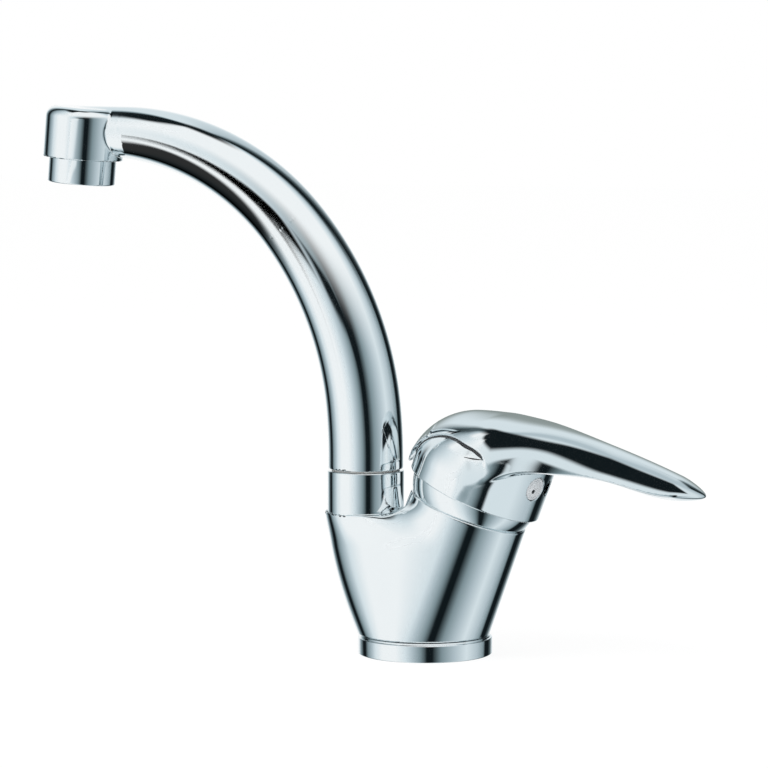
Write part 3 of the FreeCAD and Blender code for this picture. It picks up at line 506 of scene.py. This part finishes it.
def painted_shadow_line(path, widths, count):
    """Points and faces of a painted shadow line, a dark tube that lies on both cheeks of the handle in place
    of the shade where the hood meets the cheek, along a path of (x, level).
    """
    stations = np.arange(len(path))
    shares = np.linspace(0, len(path) - 1, count)
    x, z = (spline(stations, [p[i] for p in path])(shares) for i in (0, 1))
    reach = np.linspace(CHEEK_OUT, CHEEK_IN, CHEEK_STEPS)
    inside = handle_field(*np.broadcast_arrays(x[:, None], reach, z[:, None])) < 0
    middle = np.stack([x, reach[np.argmax(inside, axis=1)], z], 1)
    way = np.gradient(middle, axis=0)
    way /= np.linalg.norm(way, axis=1)[:, None]
    side = np.cross(way, NORTH)
    side /= np.linalg.norm(side, axis=1)[:, None]
    rise = np.cross(side, way)
    wide = np.interp(shares, stations, widths)[:, None]
    turns = np.linspace(0, 2 * math.pi, SHADOW_LINE_SIDES, endpoint=False)
    rings = [middle + wide * (side * math.cos(t) + rise * math.sin(t)) for t in turns]
    points = np.stack(rings, 1).reshape(-1, 3)

    def corner(i, j):
        return i * SHADOW_LINE_SIDES + j % SHADOW_LINE_SIDES

    faces = [(corner(i, j), corner(i, j + 1), corner(i + 1, j + 1), corner(i + 1, j))
             for i in range(count - 1) for j in range(SHADOW_LINE_SIDES)]
    faces += [tuple(range(SHADOW_LINE_SIDES)), tuple(reversed(range(len(points) - SHADOW_LINE_SIDES, len(points))))]
    mirrored = [tuple(reversed([i + len(points) for i in f])) for f in faces]
    return RIM + upright(np.concatenate([points, points * [1, -1, 1]])), faces + mirrored


HOOK_START = 4.6, 24.3
# Painted shadow along the hood's edge and at the hook: dark tubes where the gap between hood and cheek is
# shaded.
add_piece("hood_shadow_line", *painted_shadow_line(
    [(-24.4, 14.0), (-22.0, 19.2), (-18.0, 23.0), (-11.6, 26.0), (-4.2, 26.4), (1.6, 25.3), HOOK_START],
    [0.2, 0.25, 0.3, 0.4, 0.62, 0.62, 0.1], 120), "lever", None, "dark_paint")
add_piece("hook_shadow_line", *painted_shadow_line(
    [HOOK_START, (1.0, 23.2), (-2.6, 22.4)], [0.12, 0.3, 0.1], 40), "lever", None, "dark_paint")


# Body: a leaning branch that holds the cartridge, and a web from it to the column under the spout.
BRANCH_FLARE, BRANCH_TOP, BRANCH_LENGTH = 0.9, 0.6, 57.4
BASE_Z, WEB_HEIGHT, WEB_SHARE_MOST = 7, 57, 1.1
COLUMN_RADIUS, COLUMN_FOOT_X, COLUMN_DRIFT = 15.3, -9.35, 0.45
COLUMN_SWING, SWING_POWER = 13.832, 2.05
SLANT_MOST = 0.98
BOW_SHORT, BOW_SPAN = 0.4, (40, 53)
RIM_SPAN = -15, -2
SCOOP_X, SCOOP_Z, SCOOP_RADIUS, SCOOP_EDGE = -26.6, 59.9, 7.5, 0.9
RIM_EDGE, BASE_EDGE, SEAT_EDGE, BORE_EDGE = 0.8, 0.6, 0.8, 0.6
PLUG_RADIUS, PLUG_BOTTOM, PLUG_TOP = 20.3, 0.5, 12
COLLAR_SEAT_Z, COLLAR_SEAT_RADIUS = 51.5, 14.5
COLLAR_NECK_Z, COLLAR_NECK_RADIUS = 40.8, 12.0
SOCKET_FLOOR_Z, SOCKET_RADIUS = 28, 9.0
NUT_LEVEL, NUT_RADIUS, HOUSING_RADIUS, HOUSING_LEVEL = -8, 19.3, 17.6, -26
HOLLOW_RADIUS = 16.5
INLET_X, INLET_Y, INLET_RADIUS, INLET_TOP = 3.5, 8.5, 4.5, 21
STUD_X, STUD_RADIUS, STUD_TOP, STUD_STOP = -10, 3.4, 20, 9
LEAST = 1e-6
BODY_BOX, BODY_CELL = ((-41, -25.5, -1), (41, 25.5, 68)), 0.6


def body_web(along, y, z, level, branch, branch_radius):
    """A tapered web from the branch to the column, bowed below, with a scoop beside the spout."""
    share = np.clip((z - BASE_Z) / WEB_HEIGHT, 0, WEB_SHARE_MOST)
    right = RIM[0] - (RIM[2] - np.maximum(z, BASE_Z)) * math.tan(TILT)
    swing = COLUMN_SWING * (1 - np.maximum(1 - share, 0) ** SWING_POWER)
    left = COLUMN_FOOT_X + COLUMN_DRIFT * share - swing
    gap = (right - left) * math.cos(TILT)
    slant = np.clip((branch_radius - COLUMN_RADIUS) / gap, -SLANT_MOST, SLANT_MOST)
    flat = np.sqrt(1 - slant * slant)
    across, back = np.abs(y), -along
    place = -slant * across + flat * back
    flank = flat * across + slant * back - branch_radius
    web = np.where(place > flat * gap, np.hypot(across, back - gap) - COLUMN_RADIUS, flank)
    web = np.where(place < 0, branch, web)
    reach = gap + COLUMN_RADIUS - BOW_SHORT
    near = np.hypot(back / reach, across / branch_radius)
    far = np.hypot(back / reach ** 2, across / branch_radius ** 2)
    bow = np.where(back < 0, branch, near * (near - 1) / np.maximum(far, LEAST))
    web = bow + (web - bow) * ease(z, *BOW_SPAN)
    web = web + (branch - web) * ease(level, *RIM_SPAN)
    return blend_out(web, -round_corner(along - SCOOP_X, SCOOP_Z - z, SCOOP_RADIUS), SCOOP_EDGE)


def body_field(x, y, z):
    """Branch, web and plug, less the spout's seat, the bore, the hollow foot and inlets."""
    dx, dz = x - RIM[0], z - RIM[2]
    along, level = dx * ALONG[0] + dz * ALONG[2], dx * AXIS[0] + dz * AXIS[2]
    around, stand = np.hypot(along, y), np.hypot(x, y)
    branch_radius = RIM_RADIUS + BRANCH_FLARE * (-level - BRANCH_TOP) / BRANCH_LENGTH
    branch = around - branch_radius
    whole = np.minimum(branch, body_web(along, y, z, level, branch, branch_radius))
    whole = blend_out(whole, level, RIM_EDGE)
    whole = blend_out(whole, BASE_Z - z, BASE_EDGE)
    whole = np.minimum(whole, np.maximum(np.maximum(stand - PLUG_RADIUS, PLUG_BOTTOM - z), z - PLUG_TOP))
    seat_radius = np.where(z > COLLAR_NECK_Z, COLLAR_NECK_RADIUS, SOCKET_RADIUS)
    seat_radius = np.where(z > COLLAR_SEAT_Z, COLLAR_SEAT_RADIUS, seat_radius)
    seat = np.maximum(np.hypot(x - SPOUT_X, y) - seat_radius, SOCKET_FLOOR_Z - z)
    bore = np.maximum(around - np.where(level > NUT_LEVEL, NUT_RADIUS, HOUSING_RADIUS), HOUSING_LEVEL - level)
    hollow = np.maximum(stand - HOLLOW_RADIUS, z - PLUG_TOP)
    stud = np.hypot(x - STUD_X, y) - STUD_RADIUS + np.where(z > STUD_TOP, STUD_STOP, 0)
    inlets = np.minimum(np.hypot(x - INLET_X, np.abs(y) - INLET_Y) - INLET_RADIUS, stud)
    inlets = np.maximum(inlets, z - INLET_TOP)
    whole = blend_out(whole, -seat, SEAT_EDGE)
    return blend_out(whole, -np.minimum(bore, np.minimum(hollow, inlets)), BORE_EDGE)


points, quads, normals = skin(body_field, *BODY_BOX, BODY_CELL)
add_piece("body_skin", points, quads, "base", "body", normals=normals)

# Turned pieces, as profiles of (radius, height, rounding).
COLUMN = np.array([SPOUT_X, 0, 0])
RING_BORE, RING_RADIUS, RING_SIDE = 20.5, 25, 6.2
RING_STEP_RADIUS, RING_STEP_Z, RING_TOP_RADIUS = 24.4, 6.4, 24.2
add_piece("base_ring_skin", *lathe(
    [(RING_BORE, 0, 0), (RING_RADIUS, 0, 0.4), (RING_RADIUS, RING_SIDE, 0.35),
     (RING_STEP_RADIUS, RING_STEP_Z, 0.1), (RING_TOP_RADIUS, BASE_Z, 0.25), (RING_BORE, BASE_Z, 0)],
    np.zeros(3), UP, EAST), "base", "base_ring")

COLLAR_BORE, COLLAR_RADIUS, COLLAR_BOTTOM, COLLAR_TOP = 8.1, 14.3, 43, 67.5
add_piece("spout_collar_skin", *lathe(
    [(COLLAR_BORE, COLLAR_BOTTOM, 0), (COLLAR_NECK_RADIUS, COLLAR_BOTTOM, 0.3),
     (COLLAR_NECK_RADIUS, COLLAR_SEAT_Z, 0), (COLLAR_RADIUS, COLLAR_SEAT_Z, 0.3),
     (COLLAR_RADIUS, COLLAR_TOP, 0.45), (COLLAR_BORE, COLLAR_TOP, 0)],
    COLUMN, UP, EAST), "base", "spout_collar")

AERATOR_BORE, AERATOR_RADIUS, AERATOR_BOTTOM = 8.4, 12.75, -9.4
THREAD_TOP, INSERT_RADIUS, INSERT_SEAT = 6, 9.6, -8.4
add_piece("aerator_collar_skin", *lathe(
    [(AERATOR_BORE, AERATOR_BOTTOM, 0.2), (AERATOR_RADIUS, AERATOR_BOTTOM, 0.6), (AERATOR_RADIUS, 0, 0.2),
     (CHAMBER_RADIUS, 0, 0), (CHAMBER_RADIUS, THREAD_TOP, 0.2), (INSERT_RADIUS, THREAD_TOP, 0),
     (INSERT_RADIUS, INSERT_SEAT, 0), (AERATOR_BORE, INSERT_SEAT, 0.2)],
    OUTLET, OUTLET_AXIS, OUTLET_SIDE), "spout", "aerator_collar")

# The button's face has a groove round a slightly raised middle. PIN is as near the axis as a profile comes.
PIN = 0.02
button_way = ALONG * math.cos(BUTTON_TURN) - NORTH * math.sin(BUTTON_TURN)
button_seat = RIM + AXIS * BUTTON_LEVEL + button_way * BUTTON_SEAT
BUTTON_RADIUS, GROOVE_LEVEL = 4.4, 1.3
add_piece("index_button_skin", *lathe(
    [(PIN, 0, 0), (BUTTON_RADIUS, 0, 0), (BUTTON_RADIUS, GROOVE_LEVEL, 0.1), (4.15, 1.55, 0.1),
     (3.75, 1.6, 0.1), (3.55, GROOVE_LEVEL, 0.05), (3.3, GROOVE_LEVEL, 0.05), (3.1, 1.6, 0.15),
     (2.2, 1.75, 0.2), (1.1, 1.85, 0.2), (PIN, 1.88, 0)],
    button_seat, button_way, AXIS, 96), "lever", "index_button", "grey_plastic")
DOT_RADIUS, DOT_BOTTOM, DOT_DROP, DOT_ASIDE = 0.8, 1.5, 0.9, 1.0
dot_place = button_seat - AXIS * DOT_DROP - np.cross(AXIS, button_way) * DOT_ASIDE
add_piece("index_dot", *lathe(
    [(PIN, DOT_BOTTOM, 0), (DOT_RADIUS, DOT_BOTTOM, 0), (DOT_RADIUS, 1.88, 0.05), (PIN, 1.92, 0)],
    dot_place, button_way, AXIS, 32), "lever", None, "dark_paint")

# The washer's lower face stays just clear of the collar's top.
WASHER_BORE, WASHER_RADIUS, WASHER_BOTTOM = 8.0, 12.7, COLLAR_TOP + 0.02
add_piece("slip_washer_skin", *lathe(
    [(WASHER_BORE, WASHER_BOTTOM, 0), (WASHER_RADIUS, WASHER_BOTTOM, 0.1),
     (WASHER_RADIUS, SPOUT_FOOT_Z, 0.1), (WASHER_BORE, SPOUT_FOOT_Z, 0)],
    COLUMN, UP, EAST), "spout", "slip_washer", "white_plastic")

TRIM_HEIGHT, TRIM_BORE, TRIM_POINTS = 12, 20.0, 25
trim = [(math.sqrt(TRIM_RADIUS ** 2 - (h - PIVOT_LEVEL) ** 2), h, 0)
        for h in np.linspace(0, TRIM_HEIGHT, TRIM_POINTS)]
add_piece("trim_ring_skin", *lathe(
    [(TRIM_BORE, 0, 0), *trim, (TRIM_BORE, TRIM_HEIGHT, 0)], RIM, AXIS, ALONG), "base", "trim_ring")


# Studio. Directions are azimuths from the camera, to its right, and elevations, in degrees.
scene.view_settings.view_transform = "Standard"
VIEW_TURN = math.radians(-17.7)
WHITE, PALE, LIGHT, MID = (1.0, 1.0, 1.0), (0.76, 0.83, 0.86), (0.50, 0.58, 0.62), (0.24, 0.31, 0.335)
SLATE, DARK, EDGE_GREY = (0.085, 0.115, 0.125), (0.006, 0.010, 0.012), (0.27, 0.31, 0.30)
ROOM_GREY = 0.8, 0.8, 0.8
# Light panels and dark gaps round the object, by azimuth: near the level, above it, and for the lever.
SIDE = [(-156, WHITE), (-147, LIGHT), (-142, MID), (-131, DARK), (-122, DARK), (-114, MID), (-102, LIGHT),
        (-94, PALE), (-78, WHITE), (-52, WHITE), (-34, PALE), (-22, LIGHT), (-8, MID), (-1, SLATE), (3, DARK),
        (13, DARK), (20, SLATE), (29, MID), (52, LIGHT), (76, PALE), (102, LIGHT), (119, MID), (125, DARK),
        (139, DARK), (149, SLATE), (167, PALE), (179, WHITE)]
UPPER = [(-180, PALE), (-158, PALE), (-147, MID), (-136, DARK), (-127, DARK), (-117, MID), (-100, LIGHT),
         (-75, PALE), (-45, WHITE), (75, WHITE), (90, PALE), (103, LIGHT), (113, SLATE), (119, DARK),
         (129, DARK), (140, SLATE), (152, LIGHT), (180, PALE)]
LEVER = [(-180, PALE), (-158, PALE), (-140, SLATE), (-120, SLATE), (-100, LIGHT), (-80, WHITE), (-10, PALE),
         (60, PALE), (100, LIGHT), (130, LIGHT), (155, PALE), (180, PALE)]
# Elevation, by azimuth, of the thin dark line where the front panel meets the one above.
LINE = [(-30, 6.5), (-20, 10), (-8, 11.5), (-4, 12), (3, 8), (15, -4)]
# The same for the spout, which a nearer card shades.
CARD = [(-74, -4), (-66, 5), (-58, 12), (-50, 18), (-42, 22.5), (-34, 24.5)]
# Windows in azimuth are start, full, ebb and end. Rises and falls in elevation are start and end.
UPPER_RISE = 11.0, 42.0
LINE_EDGE, LINE_WINDOW = (6.2, 2.2), (-26.0, -16.0, 6.0, 14.0)
CARD_EDGE, CARD_WINDOW = (7.0, 3.0), (-62.0, -54.0, -36.0, -28.0)
ZENITH_RISE, LEFT_ZENITH_RISE, LEFT_ZENITH_WINDOW = (76.0, 86.0), (57.0, 68.0), (-140.0, -120.0, -62.0, -42.0)
ARCH_FALL, ARCH_WINDOW, ARCH_DARK = (20.0, 29.0), (-138.0, -122.0, -60.0, -50.0), 0.97
BEHIND_TURN, BEHIND_RISE, BEHIND_FALL = (140.0, 152.0), (-6.0, 2.0), (40.0, 8.0)
LEVER_FRONT, LEVER_FRONT_RISE = (-42.0, -32.0, 100.0, 122.0), (-15.0, -8.0)
LEVER_RIGHT, LEVER_RIGHT_RISE = (8.5, 14.5, 98.0, 118.0), (-46.0, -38.0)
LEVER_TOP_RISE = 46.0, 56.0
BAND_RISE, BAND_WINDOW, BAND_BEND, BAND_SLANT = (8.0, 27.0), (-85.0, -70.0, 80.0, 125.0), -16.0, -1.3
CROWN_RISE, AHEAD_SLANT, AHEAD_EDGE = (66.0, 80.0), 1.5, (-0.38, -0.12)


def add_node(tree, kind, *values, **settings):
    """A node with its inputs linked or set in order, and its settings by name."""
    node = tree.nodes.new(kind)
    for name, value in settings.items():
        setattr(node, name, value)
    for socket, value in zip(node.inputs, values):
        if isinstance(value, bpy.types.NodeSocket):
            tree.links.new(value, socket)
        elif value is not None:
            socket.default_value = value
    return node


def calc(tree, operation, *values):
    """Output of a maths node."""
    return add_node(tree, "ShaderNodeMath", *values, operation=operation).outputs[0]


def step_up(tree, value, start, end):
    """A smooth step from zero to one."""
    return add_node(tree, "ShaderNodeMapRange", value, start, end, interpolation_type="SMOOTHSTEP").outputs[0]


def within(tree, value, start, full, ebb, end):
    """One between full and ebb, and none before start and after end."""
    return calc(tree, "MULTIPLY", step_up(tree, value, start, full), step_up(tree, value, end, ebb))


def ramp(tree, value, stops, low=-180, high=180):
    """Colours or greys by value, in straight runs between stops."""
    node = add_node(tree, "ShaderNodeValToRGB",
                    add_node(tree, "ShaderNodeMapRange", value, low, high).outputs[0])
    elements = node.color_ramp.elements
    elements.remove(elements[-1])
    for i, (at, colour) in enumerate(stops):
        place = (at - low) / (high - low)
        element = elements[0] if i == 0 else elements.new(place)
        element.position = place
        element.color = (*colour, 1) if isinstance(colour, tuple) else (colour, colour, colour, 1)
    return node.outputs[0]


def mixed(tree, share, first, second):
    """A mix of two colours, each a socket or a tuple."""
    node = add_node(tree, "ShaderNodeMix", share, data_type="RGBA")
    for socket, value in ((node.inputs[6], first), (node.inputs[7], second)):
        if isinstance(value, tuple):
            socket.default_value = (*value, 1)
        else:
            tree.links.new(value, socket)
    return node.outputs[2]


def angles(tree, direction):
    """Azimuth and elevation of a direction."""
    turn = add_node(tree, "ShaderNodeVectorRotate", direction, rotation_type="Z_AXIS")
    turn.inputs["Angle"].default_value = VIEW_TURN
    right, ahead, up = add_node(tree, "ShaderNodeSeparateXYZ", turn.outputs[0]).outputs
    azimuth = calc(tree, "DEGREES", calc(tree, "ARCTAN2", right, calc(tree, "MULTIPLY", ahead, -1.0)))
    return azimuth, calc(tree, "DEGREES", calc(tree, "ARCSINE", up))


def near_line(tree, azimuth, elevation, line, edge, full):
    """One on a line given by elevations at azimuths, and none farther from it than edge."""
    base = min(value for _, value in line)
    span = max(value for _, value in line) - base
    stops = [(at, (value - base) / span) for at, value in line]
    level = ramp(tree, azimuth, stops, line[0][0], line[-1][0])
    level = calc(tree, "MULTIPLY_ADD", level, span, base)
    away = calc(tree, "ABSOLUTE", calc(tree, "SUBTRACT", elevation, level))
    return step_up(tree, away, edge, full)


def studio(tree, azimuth, elevation):
    """Colour of the studio seen in a direction."""
    above = step_up(tree, elevation, *UPPER_RISE)
    room = mixed(tree, above, ramp(tree, azimuth, SIDE), ramp(tree, azimuth, UPPER))
    line = near_line(tree, azimuth, elevation, LINE, *LINE_EDGE)
    line = calc(tree, "MULTIPLY", line, within(tree, azimuth, *LINE_WINDOW))
    left = within(tree, azimuth, *LEFT_ZENITH_WINDOW)
    zenith = calc(tree, "MULTIPLY", step_up(tree, elevation, *LEFT_ZENITH_RISE), left)
    zenith = calc(tree, "MAXIMUM", zenith, step_up(tree, elevation, *ZENITH_RISE))
    return mixed(tree, calc(tree, "MAXIMUM", line, zenith), room, DARK)


world = bpy.data.worlds.new("studio")
scene.world = world
world.use_nodes = True
tree = world.node_tree
tree.nodes.clear()
seen = studio(tree, *angles(tree, add_node(tree, "ShaderNodeTexCoord").outputs["Generated"]))
path = add_node(tree, "ShaderNodeLightPath")
lit = mixed(tree, path.outputs["Is Glossy Ray"], ROOM_GREY, seen)
lit = mixed(tree, path.outputs["Is Camera Ray"], lit, WHITE)
lit = mixed(tree, path.outputs["Is Transmission Ray"], lit, WHITE)
background = add_node(tree, "ShaderNodeBackground", lit)
add_node(tree, "ShaderNodeOutputWorld", background.outputs[0])

DOME_ROWS, DOME_COLUMNS, DOME_TOP = 32, 72, 89


def dome(name, reach, low, piece, state):
    """A shell round the studio whose light reaches one piece alone, or every other piece."""
    points, faces = [], []
    for i in range(DOME_ROWS + 1):
        pitch = math.radians(low + (DOME_TOP - low) * i / DOME_ROWS)
        for j in range(DOME_COLUMNS):
            turn = 2 * math.pi * j / DOME_COLUMNS
            points.append((reach * math.cos(pitch) * math.cos(turn), reach * math.cos(pitch) * math.sin(turn),
                           reach * math.sin(pitch)))
    for i in range(DOME_ROWS):
        for j in range(DOME_COLUMNS):
            a, b, k = i * DOME_COLUMNS, (i + 1) * DOME_COLUMNS, (j + 1) % DOME_COLUMNS
            faces.append((a + j, a + k, b + k, b + j))
    material, tree = new_material(name)
    tree.nodes.clear()
    mesh = bpy.data.meshes.new(name)
    mesh.from_pydata(points, [], faces)
    mesh.materials.append(material)
    shell = bpy.data.objects.new(name, mesh)
    scene.collection.objects.link(shell)
    shell.visible_camera = shell.visible_diffuse = shell.visible_shadow = shell.visible_transmission = False
    lit = bpy.data.collections.new(name)
    lit.objects.link(piece)
    lit.collection_objects[0].light_linking.link_state = state
    shell.light_linking.receiver_collection = lit
    position = add_node(tree, "ShaderNodeNewGeometry").outputs["Position"]
    place = add_node(tree, "ShaderNodeVectorMath", position, operation="NORMALIZE").outputs[0]
    azimuth, elevation = angles(tree, place)
    clear = add_node(tree, "ShaderNodeBsdfTransparent").outputs[0]
    return tree, azimuth, elevation, clear


def flag(name, reach, low, piece, zone):
    """A dark card in the studio that shows in one piece alone."""
    tree, azimuth, elevation, clear = dome(name, reach, low, piece, "EXCLUDE")
    glow = add_node(tree, "ShaderNodeEmission", studio(tree, azimuth, elevation)).outputs[0]
    cover = add_node(tree, "ShaderNodeMixShader", zone(tree, azimuth, elevation), clear, glow).outputs[0]
    add_node(tree, "ShaderNodeOutputMaterial", cover)


def behind(tree, azimuth, elevation):
    """The studio's far side, above the level."""
    away = calc(tree, "ABSOLUTE", azimuth)
    return calc(tree, "MULTIPLY", step_up(tree, away, *BEHIND_TURN), step_up(tree, elevation, *BEHIND_RISE))


def lever_zone(tree, azimuth, elevation):
    """Where the lever has a room of its own."""
    front = within(tree, azimuth, *LEVER_FRONT)
    front = calc(tree, "MULTIPLY", front, step_up(tree, elevation, *LEVER_FRONT_RISE))
    right = within(tree, azimuth, *LEVER_RIGHT)
    right = calc(tree, "MULTIPLY", right, step_up(tree, elevation, *LEVER_RIGHT_RISE))
    level = calc(tree, "MAXIMUM", calc(tree, "MAXIMUM", front, right), behind(tree, azimuth, elevation))
    return calc(tree, "MAXIMUM", level, step_up(tree, elevation, *LEVER_TOP_RISE))


def spout_zone(tree, azimuth, elevation):
    """The dark under the spout's arch."""
    under = step_up(tree, calc(tree, "MULTIPLY", elevation, -1.0), *ARCH_FALL)
    under = calc(tree, "MULTIPLY", under, within(tree, azimuth, *ARCH_WINDOW))
    return calc(tree, "MULTIPLY", under, ARCH_DARK)


def card_zone(tree, azimuth, elevation):
    """The edge of the card near the spout."""
    line = near_line(tree, azimuth, elevation, CARD, *CARD_EDGE)
    return calc(tree, "MULTIPLY", line, within(tree, azimuth, *CARD_WINDOW))


flag("lever_flag", 18, -50, handle_skin, lever_zone)
flag("spout_flag", 19, -75, spout_skin, spout_zone)
flag("spout_card", 0.5, -12, spout_skin, card_zone)

# The lever's own room: bright panels, grey behind, and a dark band across the front that rises to the left.
tree, azimuth, elevation, clear = dome("lever_room", 17, -50, handle_skin, "INCLUDE")
edge = calc(tree, "MULTIPLY", behind(tree, azimuth, elevation), step_up(tree, elevation, *BEHIND_FALL))
room = mixed(tree, edge, ramp(tree, azimuth, LEVER), EDGE_GREY)
flat = calc(tree, "COSINE", calc(tree, "RADIANS", elevation))
turn = calc(tree, "RADIANS", azimuth)
sideways = calc(tree, "MULTIPLY", calc(tree, "SINE", turn), AHEAD_SLANT)
lean = calc(tree, "SUBTRACT", calc(tree, "COSINE", turn), sideways)
ahead = step_up(tree, calc(tree, "MULTIPLY", lean, flat), *AHEAD_EDGE)
aside = calc(tree, "MAXIMUM", calc(tree, "SUBTRACT", BAND_BEND, azimuth), 0.0)
band = step_up(tree, calc(tree, "MULTIPLY_ADD", aside, BAND_SLANT, elevation), *BAND_RISE)
band = calc(tree, "MULTIPLY", band, within(tree, azimuth, *BAND_WINDOW))
shade = calc(tree, "MULTIPLY", ahead, calc(tree, "MAXIMUM", band, step_up(tree, elevation, *CROWN_RISE)))
strength = lever_zone(tree, azimuth, elevation)
glow = add_node(tree, "ShaderNodeEmission", mixed(tree, shade, room, DARK), strength).outputs[0]
add_node(tree, "ShaderNodeOutputMaterial", add_node(tree, "ShaderNodeAddShader", clear, glow).outputs[0])

# Floor, lit a little from within for the camera so that it stays pale.
FLOOR_HALF = 4
floor_material, tree = new_material("floor")
tree.nodes.clear()
matt = add_node(tree, "ShaderNodeBsdfDiffuse", (0.85, 0.85, 0.85, 1))
faint = add_node(tree, "ShaderNodeBsdfDiffuse", (0.12, 0.12, 0.12, 1))
glow = add_node(tree, "ShaderNodeEmission", (1, 1, 1, 1), 0.9)
pale = add_node(tree, "ShaderNodeAddShader", faint.outputs[0], glow.outputs[0])
camera_ray = add_node(tree, "ShaderNodeLightPath").outputs["Is Camera Ray"]
cover = add_node(tree, "ShaderNodeMixShader", camera_ray, matt.outputs[0], pale.outputs[0])
add_node(tree, "ShaderNodeOutputMaterial", cover.outputs[0])
mesh = bpy.data.meshes.new("floor")
mesh.from_pydata([(x * FLOOR_HALF, y * FLOOR_HALF, 0) for x, y in ((-1, -1), (1, -1), (1, 1), (-1, 1))],
                 [], [(0, 1, 2, 3)])
mesh.materials.append(floor_material)
floor = bpy.data.objects.new("floor", mesh)
scene.collection.objects.link(floor)
floor.visible_glossy = False


def aim(thing, place, target):
    """Puts a lamp or camera at a place, in metres, and points it at a target."""
    scene.collection.objects.link(thing)
    thing.location = place
    thing.rotation_euler = (Vector(target) - thing.location).to_track_quat("-Z", "Y").to_euler()


lamp = bpy.data.lights.new("softbox", "AREA")
lamp.shape = "DISK"
lamp.size = 0.9
lamp.energy = 9
softbox = bpy.data.objects.new("softbox", lamp)
aim(softbox, (-0.5, -0.7, 1.3), (0, 0, 0.1))
softbox.visible_glossy = False

camera = bpy.data.cameras.new("camera")
camera.sensor_width = 36
camera.lens = 175.9
eye = bpy.data.objects.new("camera", camera)
aim(eye, (0.4198, -1.3154, 0.2311), (-0.0145, -0.0046, 0.1002))
scene.camera = eye
